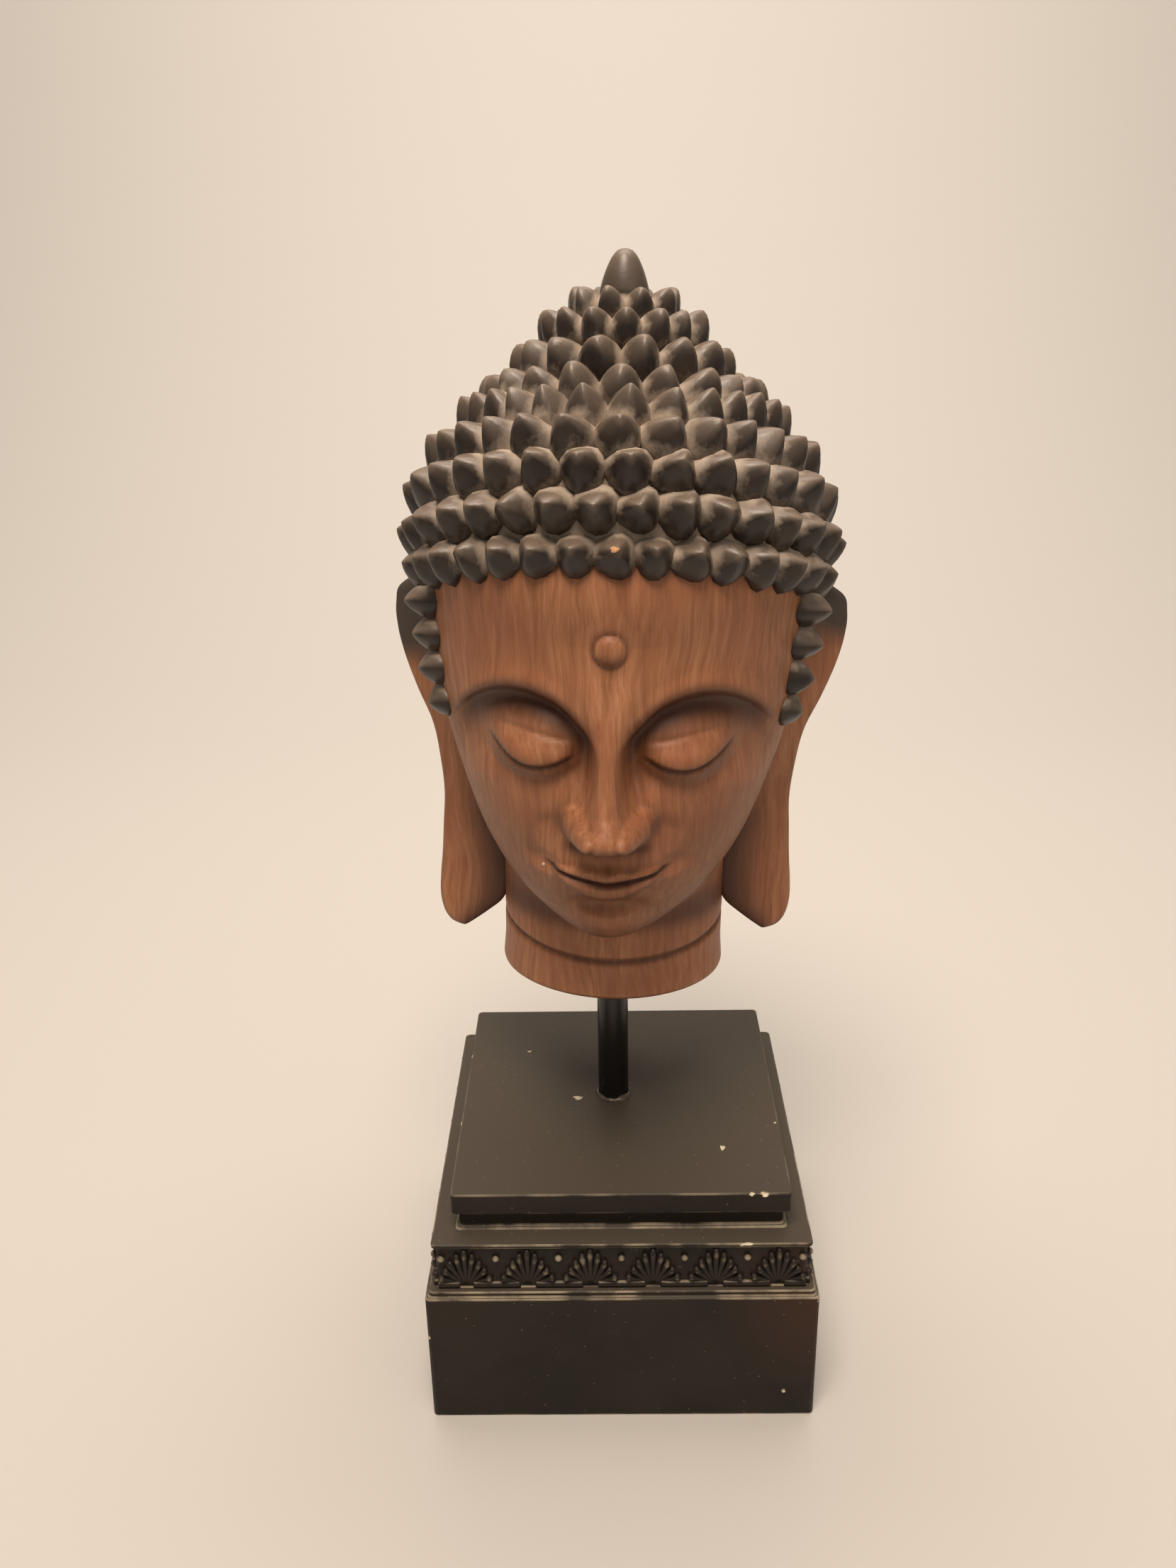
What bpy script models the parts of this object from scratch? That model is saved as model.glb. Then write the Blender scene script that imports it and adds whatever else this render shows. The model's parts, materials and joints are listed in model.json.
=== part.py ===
"""A painted cast resin Buddha head on a short rod and a square plinth."""

import math

import bmesh
import bpy
import numpy as np
from mathutils import Matrix, Vector

# Driving dimensions in metres, +Z up, with the origin at the middle of the plinth's underside.
BLOCK_SIDE = 0.127
BLOCK_HEIGHT = 0.0498
LEDGE_HEIGHT = 0.0019
LEDGE_INSET = 0.0012
BAND_SIDE = 0.1217
BAND_HEIGHT = 0.0196
BAND_RECESS = 0.0012
SHELF_THICKNESS = 0.0016
WAIST_HEIGHT = 0.0069
WAIST_INSET = 0.0022
SLAB_SIDE = 0.109
SLAB_THICKNESS = 0.0075
EDGE_ROUNDING = 0.0006

PALMETTES_PER_SIDE = 6
PALMETTE_SPACING = 0.0027
PALMETTE_HEIGHT = 0.0155
PALMETTE_RELIEF = 0.0030
PALMETTE_SINK = 0.0010
PALMETTE_GAP = 0.0005
PALMETTE_LOBES = 9
PEARL_DIAMETER = 0.0026
PEARL_DROP = 0.0057

ROD_DIAMETER = 0.0106
ROD_EXPOSED = 0.0538
ROD_OFFSET = (-0.0018, 0.0012)
ROD_IN_PLINTH = 0.030
ROD_IN_HEAD = 0.045
ROD_SIDES = 24
CLEARANCE = 0.0003

HEAD_HEIGHT = 0.2246
HEAD_ROLL = math.radians(1.5)
HEAD_TURN = math.radians(-3.0)
HEAD_TRIANGLES = 4850
CARVING_KEPT = 0.08
HEAD_RINGS = 210
HEAD_COLUMNS = 220
EAR_LEVELS = 17
EAR_CORNERS = 10

# The head is carved on a scale of its own, in shares of its height from the cut of the neck to the bud's tip.
CARVED = {
    "height": 224.6, "axis back": 3.0, "nape pitch": 13.0, "sideburn tops": (127.5, 117.5, 107.5, 97.0),
    "sideburn curl": (9.4, 11.6, 6), "sideburn angle": 1.2, "bud width": 16.0, "back": 1.12,
    "curls closer": 0.15,
}
UNIT = HEAD_HEIGHT / CARVED["height"]

# Height and reach of the scalp, of the face's sides and of its front, in head units.
SCALP = [(35, 14), (45, 25), (58, 37), (75, 48), (95, 54.5), (115, 57.2), (135, 58.2), (148, 57.8),
         (157, 55.6), (167, 49.5), (177, 40.3), (183, 32), (191, 25), (201, 18), (207.5, 11), (212, 7)]
SCALP_FRONT = [(35, 14), (45, 25), (58, 37), (75, 48), (95, 54.5), (115, 57.2), (135, 58), (150, 58),
               (163, 58), (174, 55.6), (182, 50), (186.5, 40), (190.5, 31.5), (196, 24.3), (203, 18),
               (208, 11), (212, 7)]
CHEEKS = [(28, 10), (30, 16), (33, 22.5), (38, 29.5), (45, 36), (54, 41.5), (65, 46), (78, 49),
          (92, 50.5), (106, 51.3), (120, 52), (150, 52.5), (170, 30)]
FRONT = [(28, 33), (30, 41), (33, 46.5), (38, 50), (45, 52.5), (54, 54.5), (65, 56), (78, 57),
         (92, 57.5), (106, 58), (120, 58.3), (150, 57), (170, 32)]
NECK_REACH = (36.3, 31.0, 40.0)

# Each row of curls: height of its feet at the side, lift over the brow, how many, turn of the first,
# length, width and lean.
CURL_ROWS = [(132.5, 20, 31, 1, 8.0, 12.0, 8), (141.2, 22.4, 29, -4.7, 9.6, 12.8, 12),
             (153.0, 19.4, 26, 4.7, 9.6, 13.6, 18), (164.2, 14.9, 24, 1.2, 10.0, 13.4, 28),
             (175.2, 8.6, 23, 4.7, 9.8, 12.2, 34), (180.6, 7.8, 17, 1.2, 9.8, 12.4, 42),
             (190.6, 4.8, 13, 14.1, 9.2, 12.2, 50), (200.4, 2.2, 13, 4.7, 8.6, 9.8, 56),
             (207.3, 0.9, 8, 25.8, 7.6, 8.8, 62)]
NAPE_ROWS = 5
NAPE_CURL = (9.4, 12.6, 4)


def ramp(low, high, value):
    """Smooth step from 0 at low to 1 at high."""
    share = np.clip((value - low) / (high - low), 0, 1)
    return share * share * (3 - 2 * share)


def ridge(distance, width):
    """A soft ridge along distance 0."""
    return np.exp(-(distance / width) ** 2)


def through(points, value):
    """Smooth curve through (place, size) points."""
    places, sizes = np.array(points, float).T
    slopes = np.gradient(sizes, places)
    left = np.clip(np.searchsorted(places, value) - 1, 0, len(places) - 2)
    span = places[left + 1] - places[left]
    t = np.clip((value - places[left]) / span, 0, 1)
    near = (2 * t**3 - 3 * t**2 + 1) * sizes[left] + (t**3 - 2 * t**2 + t) * span * slopes[left]
    far = (3 * t**2 - 2 * t**3) * sizes[left + 1] + (t**3 - t**2) * span * slopes[left + 1]
    return near + far


def mound(x, z, centre, reach, height, power=1.5):
    """A rounded mound on the face, with its centre and half sizes across and up."""
    inside = 1 - ((x - centre[0]) / reach[0]) ** 2 - ((z - centre[1]) / reach[1]) ** 2
    return height * np.clip(inside, 0, None) ** power


def oval(angle, side, front, back):
    """How far an oval reaches from its middle at an angle counted from the front."""
    depth = np.where(np.cos(angle) > 0, front, back)
    return 1 / np.hypot(np.sin(angle) / side, np.cos(angle) / depth)


def blend_out(a, b, softness):
    """The larger of two sizes, with a soft change between them."""
    share = np.clip(0.5 + 0.5 * (a - b) / softness, 0, 1)
    return b * (1 - share) + a * share + softness * share * (1 - share)


def face_relief(x, z):
    """How far the face's carving stands forward of the plain head."""
    x = np.abs(x)
    brow = through([(0, 96), (8, 104.5), (13, 109.6), (19, 112.6), (26, 113.6), (33, 112), (40, 107.5),
                    (52, 94)], x)
    below_brow = brow - z
    socket = ramp(0, 5, below_brow) * (1 - ramp(12, 30, below_brow)) * ramp(52, 40, x) * ramp(1, 7, x)
    relief = -5.2 * socket + 0.9 * ridge(below_brow + 1.6, 2.6) * ramp(50, 38, x) * ramp(2, 10, x)

    lash = through([(8, 94.6), (15, 91.4), (21, 90.4), (27, 91.4), (36, 96.8)], x)
    over_lash = z - lash
    lid_span = ramp(8.5, 13, x) * ramp(35.5, 31.5, x)
    relief += mound(x, z, (22, 96.5), (16.5, 11.5), 6.6, 1.15)
    relief += 1.3 * ramp(-0.6, 0.6, over_lash) * ramp(9, 2, over_lash) * lid_span
    relief -= 0.9 * ridge(over_lash + 0.7, 0.9) * lid_span

    bridge = through([(60, 0), (66, 5.4), (70, 11.6), (74, 13.8), (78, 13.3), (86, 10.9), (94, 8.4),
                      (102, 5.8), (110, 3), (118, 0.8), (126, 0)], z)
    half_width = through([(66, 7), (72, 7.2), (78, 6), (86, 4.6), (94, 4), (102, 4.6), (110, 7.5),
                          (120, 13)], z)
    above_nostrils = ramp(67.2, 71.5, z)
    relief += bridge * ramp(half_width * 1.65, half_width * 0.42, x) * above_nostrils
    relief += mound(x, z, (0, 74.5), (7.5, 6.5), 2.6) * above_nostrils
    relief += mound(x, z, (8.6, 73.6), (5.2, 5.6), 7.0, 1.0) * above_nostrils

    mouth = 57.0 + 1.9 * (x / 16) ** 2
    upper = through([(0, 4), (3.2, 4.9), (8, 3.6), (13, 1.8), (20, 0.3)], x)
    lower = through([(0, 6.8), (5, 6.4), (10, 4.6), (14, 2), (20, 0.3)], x)
    lip_span = ramp(17, 13.5, x)
    relief += mound(x, z, (0, 59), (27, 19), 4.2)
    relief += 2.3 * lip_span * ramp(upper * 1.2, upper * 0.7, z - mouth) * (z >= mouth)
    relief += 2.8 * lip_span * ramp(lower * 1.2, lower * 0.6, mouth - z) * (z < mouth)
    relief -= 2.0 * ridge(z - mouth, 0.9) * ramp(18.5, 15, x)
    relief -= mound(x, z, (18.2, 59.2), (5, 4.4), 1.1)

    relief -= mound(x, z, (0, 47.2), (13, 4.6), 1.8)
    relief += mound(x, z, (0, 38.5), (15, 9.5), 3.4)
    relief += mound(x, z, (31, 78), (19, 20), 1.8)
    relief += mound(x, z, (0, 125.5), (4.3, 4.3), 2.3, 0.5)
    return relief


def hairline(angle):
    """Height of the hair's lower edge around the head, by the angle from the front."""
    turn = np.abs(angle)
    return through([(0, 147.5), (0.35, 146), (0.7, 141), (0.98, 132), (1.08, 118), (1.16, 90), (1.42, 80),
                    (1.7, 70), (2.2, 60), (3.15, 57)], turn)


def head_point(angle, z):
    """Point of the smooth head at an angle from the front and a height, in head units."""
    side = through(SCALP, z)
    scalp = oval(angle, side, through(SCALP_FRONT, z), CARVED["back"] * side) * ramp(30, 36, z)
    cheeks = oval(angle, through(CHEEKS, z), through(FRONT, z), 34.0) * ramp(27, 28.5, z)
    cheeks = cheeks * ramp(168, 158, z)
    neck = oval(angle, *NECK_REACH) * ramp(60, 40, z) * (1 + 0.02 * ramp(12, 0, z))
    reach = blend_out(blend_out(neck, cheeks, 4), scalp, 5)
    fold = 14.5 + 5.5 * (angle / 1.5) ** 2
    reach = reach - 1.1 * ridge(z - fold, 1.2) * ramp(1.9, 1.3, np.abs(angle))
    reach = reach - 3.0 * ramp(2.6, 0, z) ** 2
    x = reach * np.sin(angle)
    y = CARVED["axis back"] - reach * np.cos(angle)
    return x, y - face_relief(x, z) * ramp(2, -22, y) * ramp(152, 145, z), z


def curls():
    """Foot, axis, length and half width of every curl, in head units."""
    places = []
    for side, lift, count, first, length, width, lean in CURL_ROWS:
        for step in range(count):
            turn = math.radians(first) + math.tau * step / count
            turn = (turn + math.pi) % math.tau - math.pi
            angle = turn - CARVED["curls closer"] * math.sin(turn)
            height = side + lift * max(math.cos(angle), 0)
            places.append((angle, height, length, width, lean))
    length, width, lean = NAPE_CURL
    for row in range(NAPE_ROWS):
        height = CURL_ROWS[0][0] - (row + 1) * CARVED["nape pitch"]
        reach = float(through(SCALP, np.array(height)))
        spread = 1.5 - 0.09 * row
        count = round(2 * spread * reach / width)
        for step in range(count):
            angle = math.pi + spread * (2 * (step + 0.5) / count - 1)
            places.append(((angle + math.pi) % math.tau - math.pi, height, length, width, lean))
    for height in CARVED["sideburn tops"]:
        for side in (-1, 1):
            places.append((side * CARVED["sideburn angle"], height, *CARVED["sideburn curl"]))
    made = []
    for angle, height, length, width, lean in places:
        foot = np.array(head_point(np.array(angle), np.array(float(height))), float)
        across = np.array(head_point(np.array(angle + 0.02), np.array(float(height)))) - foot
        up = np.array(head_point(np.array(angle), np.array(height + 1.0))) - foot
        out = np.cross(across, up)
        out /= np.linalg.norm(out)
        axis = out + np.array([0, 0, math.tan(math.radians(lean))]) * (1 - abs(out[2]))
        made.append((foot, axis / np.linalg.norm(axis), length, width / 2))
    return made


def grow_curls(points, is_hair):
    """Pull the scalp's points out into pointed curls, each point by the curl nearest to it."""
    made = curls()
    feet = np.array([curl[0] for curl in made])
    axes = np.array([curl[1] for curl in made])
    lengths = np.array([curl[2] for curl in made])
    halves = np.array([curl[3] for curl in made])
    hair = points[is_hair]
    moved = np.empty_like(hair)
    for start in range(0, len(hair), 4000):
        some = hair[start:start + 4000]
        distance = np.linalg.norm(some[:, None, :] - feet[None], axis=2) / (halves * 1.12)
        nearest = distance.argmin(axis=1)
        near = np.clip(distance[np.arange(len(some)), nearest], 0, 1)
        rise = lengths[nearest] * (1 - near ** 1.35)
        moved[start:start + 4000] = some + axes[nearest] * rise[:, None]
    points[is_hair] = moved


def head_mesh():
    """The head as one loft of rings, from the cut of the neck to the bud's tip."""
    fine = np.linspace(0, SCALP[-1][0], 1600)
    front = np.array(head_point(np.zeros_like(fine), fine))
    side = np.array(head_point(np.full_like(fine, 1.2), fine))
    stride = np.hypot(np.diff(front[1]), np.diff(fine)) + np.hypot(np.diff(side[0]), np.diff(fine))
    travel = np.concatenate([[0], np.cumsum(stride)])
    heights = np.interp(np.linspace(0, travel[-1], HEAD_RINGS), travel, fine)
    turn = np.linspace(-1, 1, HEAD_COLUMNS, endpoint=False)
    angles = math.pi * (0.62 * turn + 0.38 * turn**3)
    grid_angle, grid_height = np.meshgrid(angles, heights)
    x, y, z = head_point(grid_angle, grid_height)
    points = np.stack([x, y, z], axis=-1).reshape(-1, 3)
    bud_rows = 10
    grow_curls(points, (grid_height > hairline(grid_angle)).reshape(-1))

    last = points[-HEAD_COLUMNS:]
    middle = np.array([0, CARVED["axis back"], last[:, 2].mean()])
    bud = []
    for row in range(1, bud_rows):
        share = math.sin(row / bud_rows * math.pi / 2)
        reach = CARVED["bud width"] / 2 * (1 - share) ** 0.6
        ring = middle + (last - middle) / np.linalg.norm(last - middle, axis=1)[:, None] * reach
        ring[:, 2] = middle[2] + (CARVED["height"] - middle[2]) * share
        bud.append(ring)
    tip = np.array([[0, CARVED["axis back"], CARVED["height"]]])
    points = np.concatenate([points] + bud + [tip]) * UNIT

    rings = HEAD_RINGS + bud_rows - 1
    faces = [tuple(reversed(range(HEAD_COLUMNS)))]
    for ring in range(rings - 1):
        low = ring * HEAD_COLUMNS
        for column in range(HEAD_COLUMNS):
            after = (column + 1) % HEAD_COLUMNS
            faces.append((low + column, low + after, low + after + HEAD_COLUMNS, low + column + HEAD_COLUMNS))
    top = (rings - 1) * HEAD_COLUMNS
    for column in range(HEAD_COLUMNS):
        faces.append((top + column, top + (column + 1) % HEAD_COLUMNS, len(points) - 1))
    mesh = bpy.data.meshes.new("head")
    mesh.from_pydata(points.tolist(), [], faces)
    mesh.update()
    carved = np.abs(face_relief(points[:, 0] / UNIT, points[:, 2] / UNIT)) > 0.25
    carved &= (points[:, 1] < -20 * UNIT) & (points[:, 2] < 140 * UNIT)
    carved |= points[:, 2] > middle[2] * UNIT
    return mesh, np.nonzero(carved)[0].tolist()


def ear_mesh(side):
    """One long ear: a loft of flat ovals between its front edge at the jaw and its free rear edge."""
    levels, corners = EAR_LEVELS, EAR_CORNERS
    bottom, top = 12.0, 129.5
    rings = []
    for level in range(levels):
        share = level / (levels - 1)
        height = bottom + (top - bottom) * (0.5 - 0.5 * math.cos(share * math.pi))
        at = np.array(height)
        front = through([(11, 50), (13, 47.5), (15, 45), (18.3, 41), (21.5, 37.4), (26, 35), (36, 34),
                         (56, 40), (84, 47), (110, 50), (129, 53)], at)
        rear = through([(11, 52.5), (13, 55.3), (16, 57.3), (21, 58.4), (28, 58.4), (36, 57.6), (48, 56.7),
                        (58, 56), (70, 57), (82, 59.3), (93, 64.2), (104, 68.6), (112, 70.6), (120, 70.8),
                        (126, 68.6), (129, 64)], at)
        depth = through([(11, 4), (30, 6), (60, 6), (84, 8), (104, 11), (118, 12), (129, 11)], at)
        thick = through([(11, 3.6), (30, 4.4), (60, 3.4), (90, 2.8), (129, 2.6)], at)
        hollow = through([(11, 0.3), (40, 0.6), (70, 1.0), (90, 2.0), (118, 2.4), (129, 1)], at)
        close = math.sqrt(max(1 - abs(2 * share - 1) ** 5, 0.02))
        start = np.array([float(front), 1.0 - 5.0 * share])
        end = np.array([float(rear), float(depth)])
        middle = (start + end) / 2
        along = (end - start) / 2
        across = np.array([along[1], -along[0]]) / np.linalg.norm(along)
        for corner in range(corners):
            angle = math.tau * corner / corners
            flat = middle + along * math.cos(angle)
            flat = flat + across * close * (float(thick) - 0.9) * math.sin(angle)
            flat = flat + across * (0.9 - float(hollow) * math.sin(angle) ** 2)
            rings.append((side * flat[0] * UNIT, flat[1] * UNIT, height * UNIT))
    faces = [tuple(range(corners)), tuple(reversed(range((levels - 1) * corners, levels * corners)))]
    for level in range(levels - 1):
        low = level * corners
        for corner in range(corners):
            after = (corner + 1) % corners
            faces.append((low + corner, low + corner + corners, low + after + corners, low + after))
    mesh = bpy.data.meshes.new("ear")
    mesh.from_pydata(rings, [], faces)
    work = bmesh.new()
    work.from_mesh(mesh)
    bmesh.ops.recalc_face_normals(work, faces=work.faces)
    work.to_mesh(mesh)
    work.free()
    return mesh


def new_collection(name):
    collection = bpy.data.collections.new(name)
    bpy.context.scene.collection.children.link(collection)
    return collection


def new_object(name, mesh, collection):
    thing = bpy.data.objects.new(name, mesh)
    collection.objects.link(thing)
    return thing


def material(name, red, green, blue, roughness):
    finish = bpy.data.materials.new(name)
    finish.use_nodes = True
    shader = finish.node_tree.nodes["Principled BSDF"]
    shader.inputs["Base Color"].default_value = (red, green, blue, 1)
    shader.inputs["Roughness"].default_value = roughness
    return finish


def hide_as_cutter(thing):
    thing.hide_render = True
    thing.display_type = 'WIRE'


def add_boolean(thing, other, operation):
    join = thing.modifiers.new(operation.title(), 'BOOLEAN')
    join.operation = operation
    join.solver = 'EXACT'
    join.object = other
    return join


def cylinder_mesh(name, radius, low, high, sides=ROD_SIDES):
    work = bmesh.new()
    place = Matrix.Translation((0, 0, (low + high) / 2))
    bmesh.ops.create_cone(work, cap_ends=True, segments=sides, radius1=radius, radius2=radius,
                          depth=high - low, matrix=place)
    mesh = bpy.data.meshes.new(name)
    work.to_mesh(mesh)
    work.free()
    mesh.shade_smooth()
    mesh.set_sharp_from_angle(angle=math.radians(40))
    return mesh


def plinth_profile():
    """Half sides and heights of the plinth's square steps, from the top down."""
    ledge = BLOCK_HEIGHT + LEDGE_HEIGHT
    shelf = BLOCK_HEIGHT + BAND_HEIGHT
    waist = shelf + WAIST_HEIGHT
    top = waist + SLAB_THICKNESS
    panel = BAND_SIDE / 2 - BAND_RECESS
    waist_half = SLAB_SIDE / 2 - WAIST_INSET
    return [(0, top), (SLAB_SIDE / 2, top), (SLAB_SIDE / 2, waist), (waist_half, waist),
            (waist_half, shelf), (BAND_SIDE / 2, shelf), (BAND_SIDE / 2, shelf - SHELF_THICKNESS),
            (panel, shelf - SHELF_THICKNESS), (panel, ledge + LEDGE_HEIGHT),
            (BLOCK_SIDE / 2 - 2 * LEDGE_INSET, ledge + LEDGE_HEIGHT),
            (BLOCK_SIDE / 2 - 2 * LEDGE_INSET, ledge), (BLOCK_SIDE / 2 - LEDGE_INSET, ledge),
            (BLOCK_SIDE / 2 - LEDGE_INSET, BLOCK_HEIGHT), (BLOCK_SIDE / 2, BLOCK_HEIGHT),
            (BLOCK_SIDE / 2, 0), (0, 0)]


def turned_square(name, profile, collection):
    """A square solid: the profile turned in four steps, with its corners on the diagonals."""
    mesh = bpy.data.meshes.new(name)
    reach = math.sqrt(2)
    corners = [(half * reach, 0, height) for half, height in profile]
    edges = [(number, number + 1) for number in range(len(corners) - 1)]
    mesh.from_pydata(corners, edges, [])
    mesh.transform(Matrix.Rotation(math.radians(45), 4, 'Z'))
    solid = new_object(name, mesh, collection)
    turn = solid.modifiers.new("Turn", 'SCREW')
    turn.steps = 4
    turn.render_steps = 4
    turn.use_smooth_shade = False
    turn.use_merge_vertices = True
    turn.merge_threshold = 0.00001
    rounding = solid.modifiers.new("Worn edges", 'BEVEL')
    rounding.width = EDGE_ROUNDING
    rounding.segments = 1
    rounding.limit_method = 'ANGLE'
    return solid


def palmette_pitch():
    return BAND_SIDE / (PALMETTES_PER_SIDE + 0.05)


def palmette_points():
    """A fan of narrow lobes on a stem: across, up from its foot, and out over the panel."""
    stem = 0.2 * PALMETTE_HEIGHT
    tall = PALMETTE_HEIGHT - stem
    wide = (palmette_pitch() - PALMETTE_SPACING) / 2
    points = [(0, stem, PALMETTE_RELIEF * 0.8)]
    for step in range(2 * PALMETTE_LOBES + 1):
        angle = math.pi / 2 * (step / PALMETTE_LOBES - 1)
        reach = tall + (wide - tall) * abs(math.sin(angle)) ** 0.7
        on_ridge = step % 2 == 1
        if not on_ridge:
            reach *= 0.55 if step in (0, 2 * PALMETTE_LOBES) else 0.88
        rise = 0.85 if on_ridge else 0.25
        points.append((reach * math.sin(angle), stem + reach * math.cos(angle), PALMETTE_RELIEF * rise))
    points.append((0, 0.08 * PALMETTE_HEIGHT, PALMETTE_RELIEF * 0.6))
    return points


def band_ornament_mesh():
    """Every palmette and pearl of the four sides, as closed bodies set into the panel."""
    work = bmesh.new()
    panel = BAND_SIDE / 2 - BAND_RECESS
    foot = BLOCK_HEIGHT + BAND_HEIGHT - SHELF_THICKNESS - PALMETTE_GAP - PALMETTE_HEIGHT
    pitch = palmette_pitch()
    lobes = 2 * PALMETTE_LOBES + 1
    for side in range(4):
        turn = Matrix.Rotation(side * math.pi / 2, 4, 'Z')
        for number in range(PALMETTES_PER_SIDE):
            middle = (number - (PALMETTES_PER_SIDE - 1) / 2) * pitch
            front = []
            for across, up, out in palmette_points():
                front.append(work.verts.new(turn @ Vector((middle + across, -panel - out, foot + up))))
            fan = [work.faces.new((front[0], front[1], front[-1])),
                   work.faces.new((front[0], front[-1], front[lobes]))]
            for step in range(1, lobes):
                fan.append(work.faces.new((front[0], front[step + 1], front[step])))
            rim = {edge for face in fan for edge in face.edges if edge.is_boundary}
            made = bmesh.ops.extrude_edge_only(work, edges=list(rim))["geom"]
            inward = turn @ Vector((0, 1, 0))
            for vert in (thing for thing in made if isinstance(thing, bmesh.types.BMVert)):
                vert.co += inward * (-panel + PALMETTE_SINK - vert.co.dot(inward))
            back = [thing for thing in made if isinstance(thing, bmesh.types.BMEdge) and thing.is_boundary]
            bmesh.ops.edgeloop_fill(work, edges=back)
        for number in range(PALMETTES_PER_SIDE + 1):
            middle = (number - PALMETTES_PER_SIDE / 2) * pitch
            limit = panel - PEARL_DIAMETER * 0.75
            middle = max(-limit, min(limit, middle))
            height = BLOCK_HEIGHT + BAND_HEIGHT - PEARL_DROP
            place = turn @ Matrix.Translation((middle, -panel - PEARL_DIAMETER * 0.04, height))
            bmesh.ops.create_icosphere(work, subdivisions=1, radius=PEARL_DIAMETER / 2, matrix=place)
    bmesh.ops.recalc_face_normals(work, faces=work.faces)
    mesh = bpy.data.meshes.new("band ornament")
    work.to_mesh(mesh)
    work.free()
    return mesh


def build_plinth(parts, cutters):
    top = BLOCK_HEIGHT + BAND_HEIGHT + WAIST_HEIGHT + SLAB_THICKNESS
    plinth = turned_square("plinth", plinth_profile(), parts)
    ornament = new_object("band ornament", band_ornament_mesh(), cutters)
    hide_as_cutter(ornament)
    add_boolean(plinth, ornament, 'UNION').use_self = True
    bore = cylinder_mesh("plinth socket", ROD_DIAMETER / 2 + CLEARANCE, top - ROD_IN_PLINTH, top + 0.01)
    socket = new_object("plinth socket", bore, cutters)
    socket.location = (*ROD_OFFSET, 0)
    hide_as_cutter(socket)
    add_boolean(plinth, socket, 'DIFFERENCE')
    plinth.data.materials.append(material("dark painted resin", 0.032, 0.024, 0.018, 0.42))
    return top


def build_rod(parts, plinth_top):
    low = plinth_top - ROD_IN_PLINTH + CLEARANCE
    high = plinth_top + ROD_EXPOSED + ROD_IN_HEAD - CLEARANCE
    rod = new_object("rod", cylinder_mesh("rod", ROD_DIAMETER / 2, low, high), parts)
    rod.location = (*ROD_OFFSET, 0)
    rod.data.materials.append(material("gloss black metal", 0.006, 0.006, 0.006, 0.2))


def build_head(parts, cutters, plinth_top):
    neck = plinth_top + ROD_EXPOSED
    mesh, carved = head_mesh()
    head = new_object("head", mesh, parts)
    carving = head.vertex_groups.new(name="fine carving")
    carving.add(carved, CARVING_KEPT, 'REPLACE')
    thin = head.modifiers.new("Facets", 'DECIMATE')
    thin.ratio = HEAD_TRIANGLES / (2 * HEAD_RINGS * HEAD_COLUMNS)
    thin.use_collapse_triangulate = True
    thin.vertex_group = carving.name
    thin.invert_vertex_group = True
    thin.vertex_group_factor = 1.0
    pose = Matrix.Translation((*ROD_OFFSET, neck)) @ Matrix.Rotation(HEAD_ROLL, 4, 'Y')
    pose = pose @ Matrix.Rotation(HEAD_TURN, 4, 'Z')
    head.matrix_world = pose
    for side, name in ((-1, "ear on the left"), (1, "ear on the right")):
        ear = new_object(name, ear_mesh(side), cutters)
        ear.matrix_world = pose
        hide_as_cutter(ear)
        add_boolean(head, ear, 'UNION')
    bore = cylinder_mesh("head socket", ROD_DIAMETER / 2 + CLEARANCE, neck - 0.02, neck + ROD_IN_HEAD)
    socket = new_object("head socket", bore, cutters)
    socket.location = (*ROD_OFFSET, 0)
    hide_as_cutter(socket)
    add_boolean(head, socket, 'DIFFERENCE')
    head.data.materials.append(material("wood effect resin", 0.30, 0.12, 0.05, 0.45))


def main():
    for thing in list(bpy.data.objects):
        bpy.data.objects.remove(thing, do_unlink=True)
    parts = new_collection("buddha head on plinth")
    cutters = new_collection("cutters")
    plinth_top = build_plinth(parts, cutters)
    build_rod(parts, plinth_top)
    build_head(parts, cutters, plinth_top)


main()
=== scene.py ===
import json
import math

import bmesh
import bpy
import numpy as np
from mathutils import Matrix, Vector

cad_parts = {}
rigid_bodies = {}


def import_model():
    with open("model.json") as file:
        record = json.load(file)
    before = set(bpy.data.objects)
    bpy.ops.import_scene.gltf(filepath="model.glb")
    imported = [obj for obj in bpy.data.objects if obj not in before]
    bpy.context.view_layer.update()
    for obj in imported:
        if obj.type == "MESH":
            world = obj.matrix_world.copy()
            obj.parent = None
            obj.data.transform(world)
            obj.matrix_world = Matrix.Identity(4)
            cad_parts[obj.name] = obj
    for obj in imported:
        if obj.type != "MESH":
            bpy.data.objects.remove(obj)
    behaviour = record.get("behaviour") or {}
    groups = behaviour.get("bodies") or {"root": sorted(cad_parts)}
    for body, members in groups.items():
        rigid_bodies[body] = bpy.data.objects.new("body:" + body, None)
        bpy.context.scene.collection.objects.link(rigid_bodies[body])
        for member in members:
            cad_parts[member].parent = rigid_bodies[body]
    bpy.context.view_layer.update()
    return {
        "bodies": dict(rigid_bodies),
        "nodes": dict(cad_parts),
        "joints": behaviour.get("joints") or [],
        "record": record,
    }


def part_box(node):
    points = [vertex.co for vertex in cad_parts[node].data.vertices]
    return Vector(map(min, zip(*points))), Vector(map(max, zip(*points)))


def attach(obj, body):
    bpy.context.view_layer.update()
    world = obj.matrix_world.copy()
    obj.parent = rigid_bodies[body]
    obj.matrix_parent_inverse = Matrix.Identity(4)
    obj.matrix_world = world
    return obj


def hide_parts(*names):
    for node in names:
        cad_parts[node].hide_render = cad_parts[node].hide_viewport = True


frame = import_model()

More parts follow.
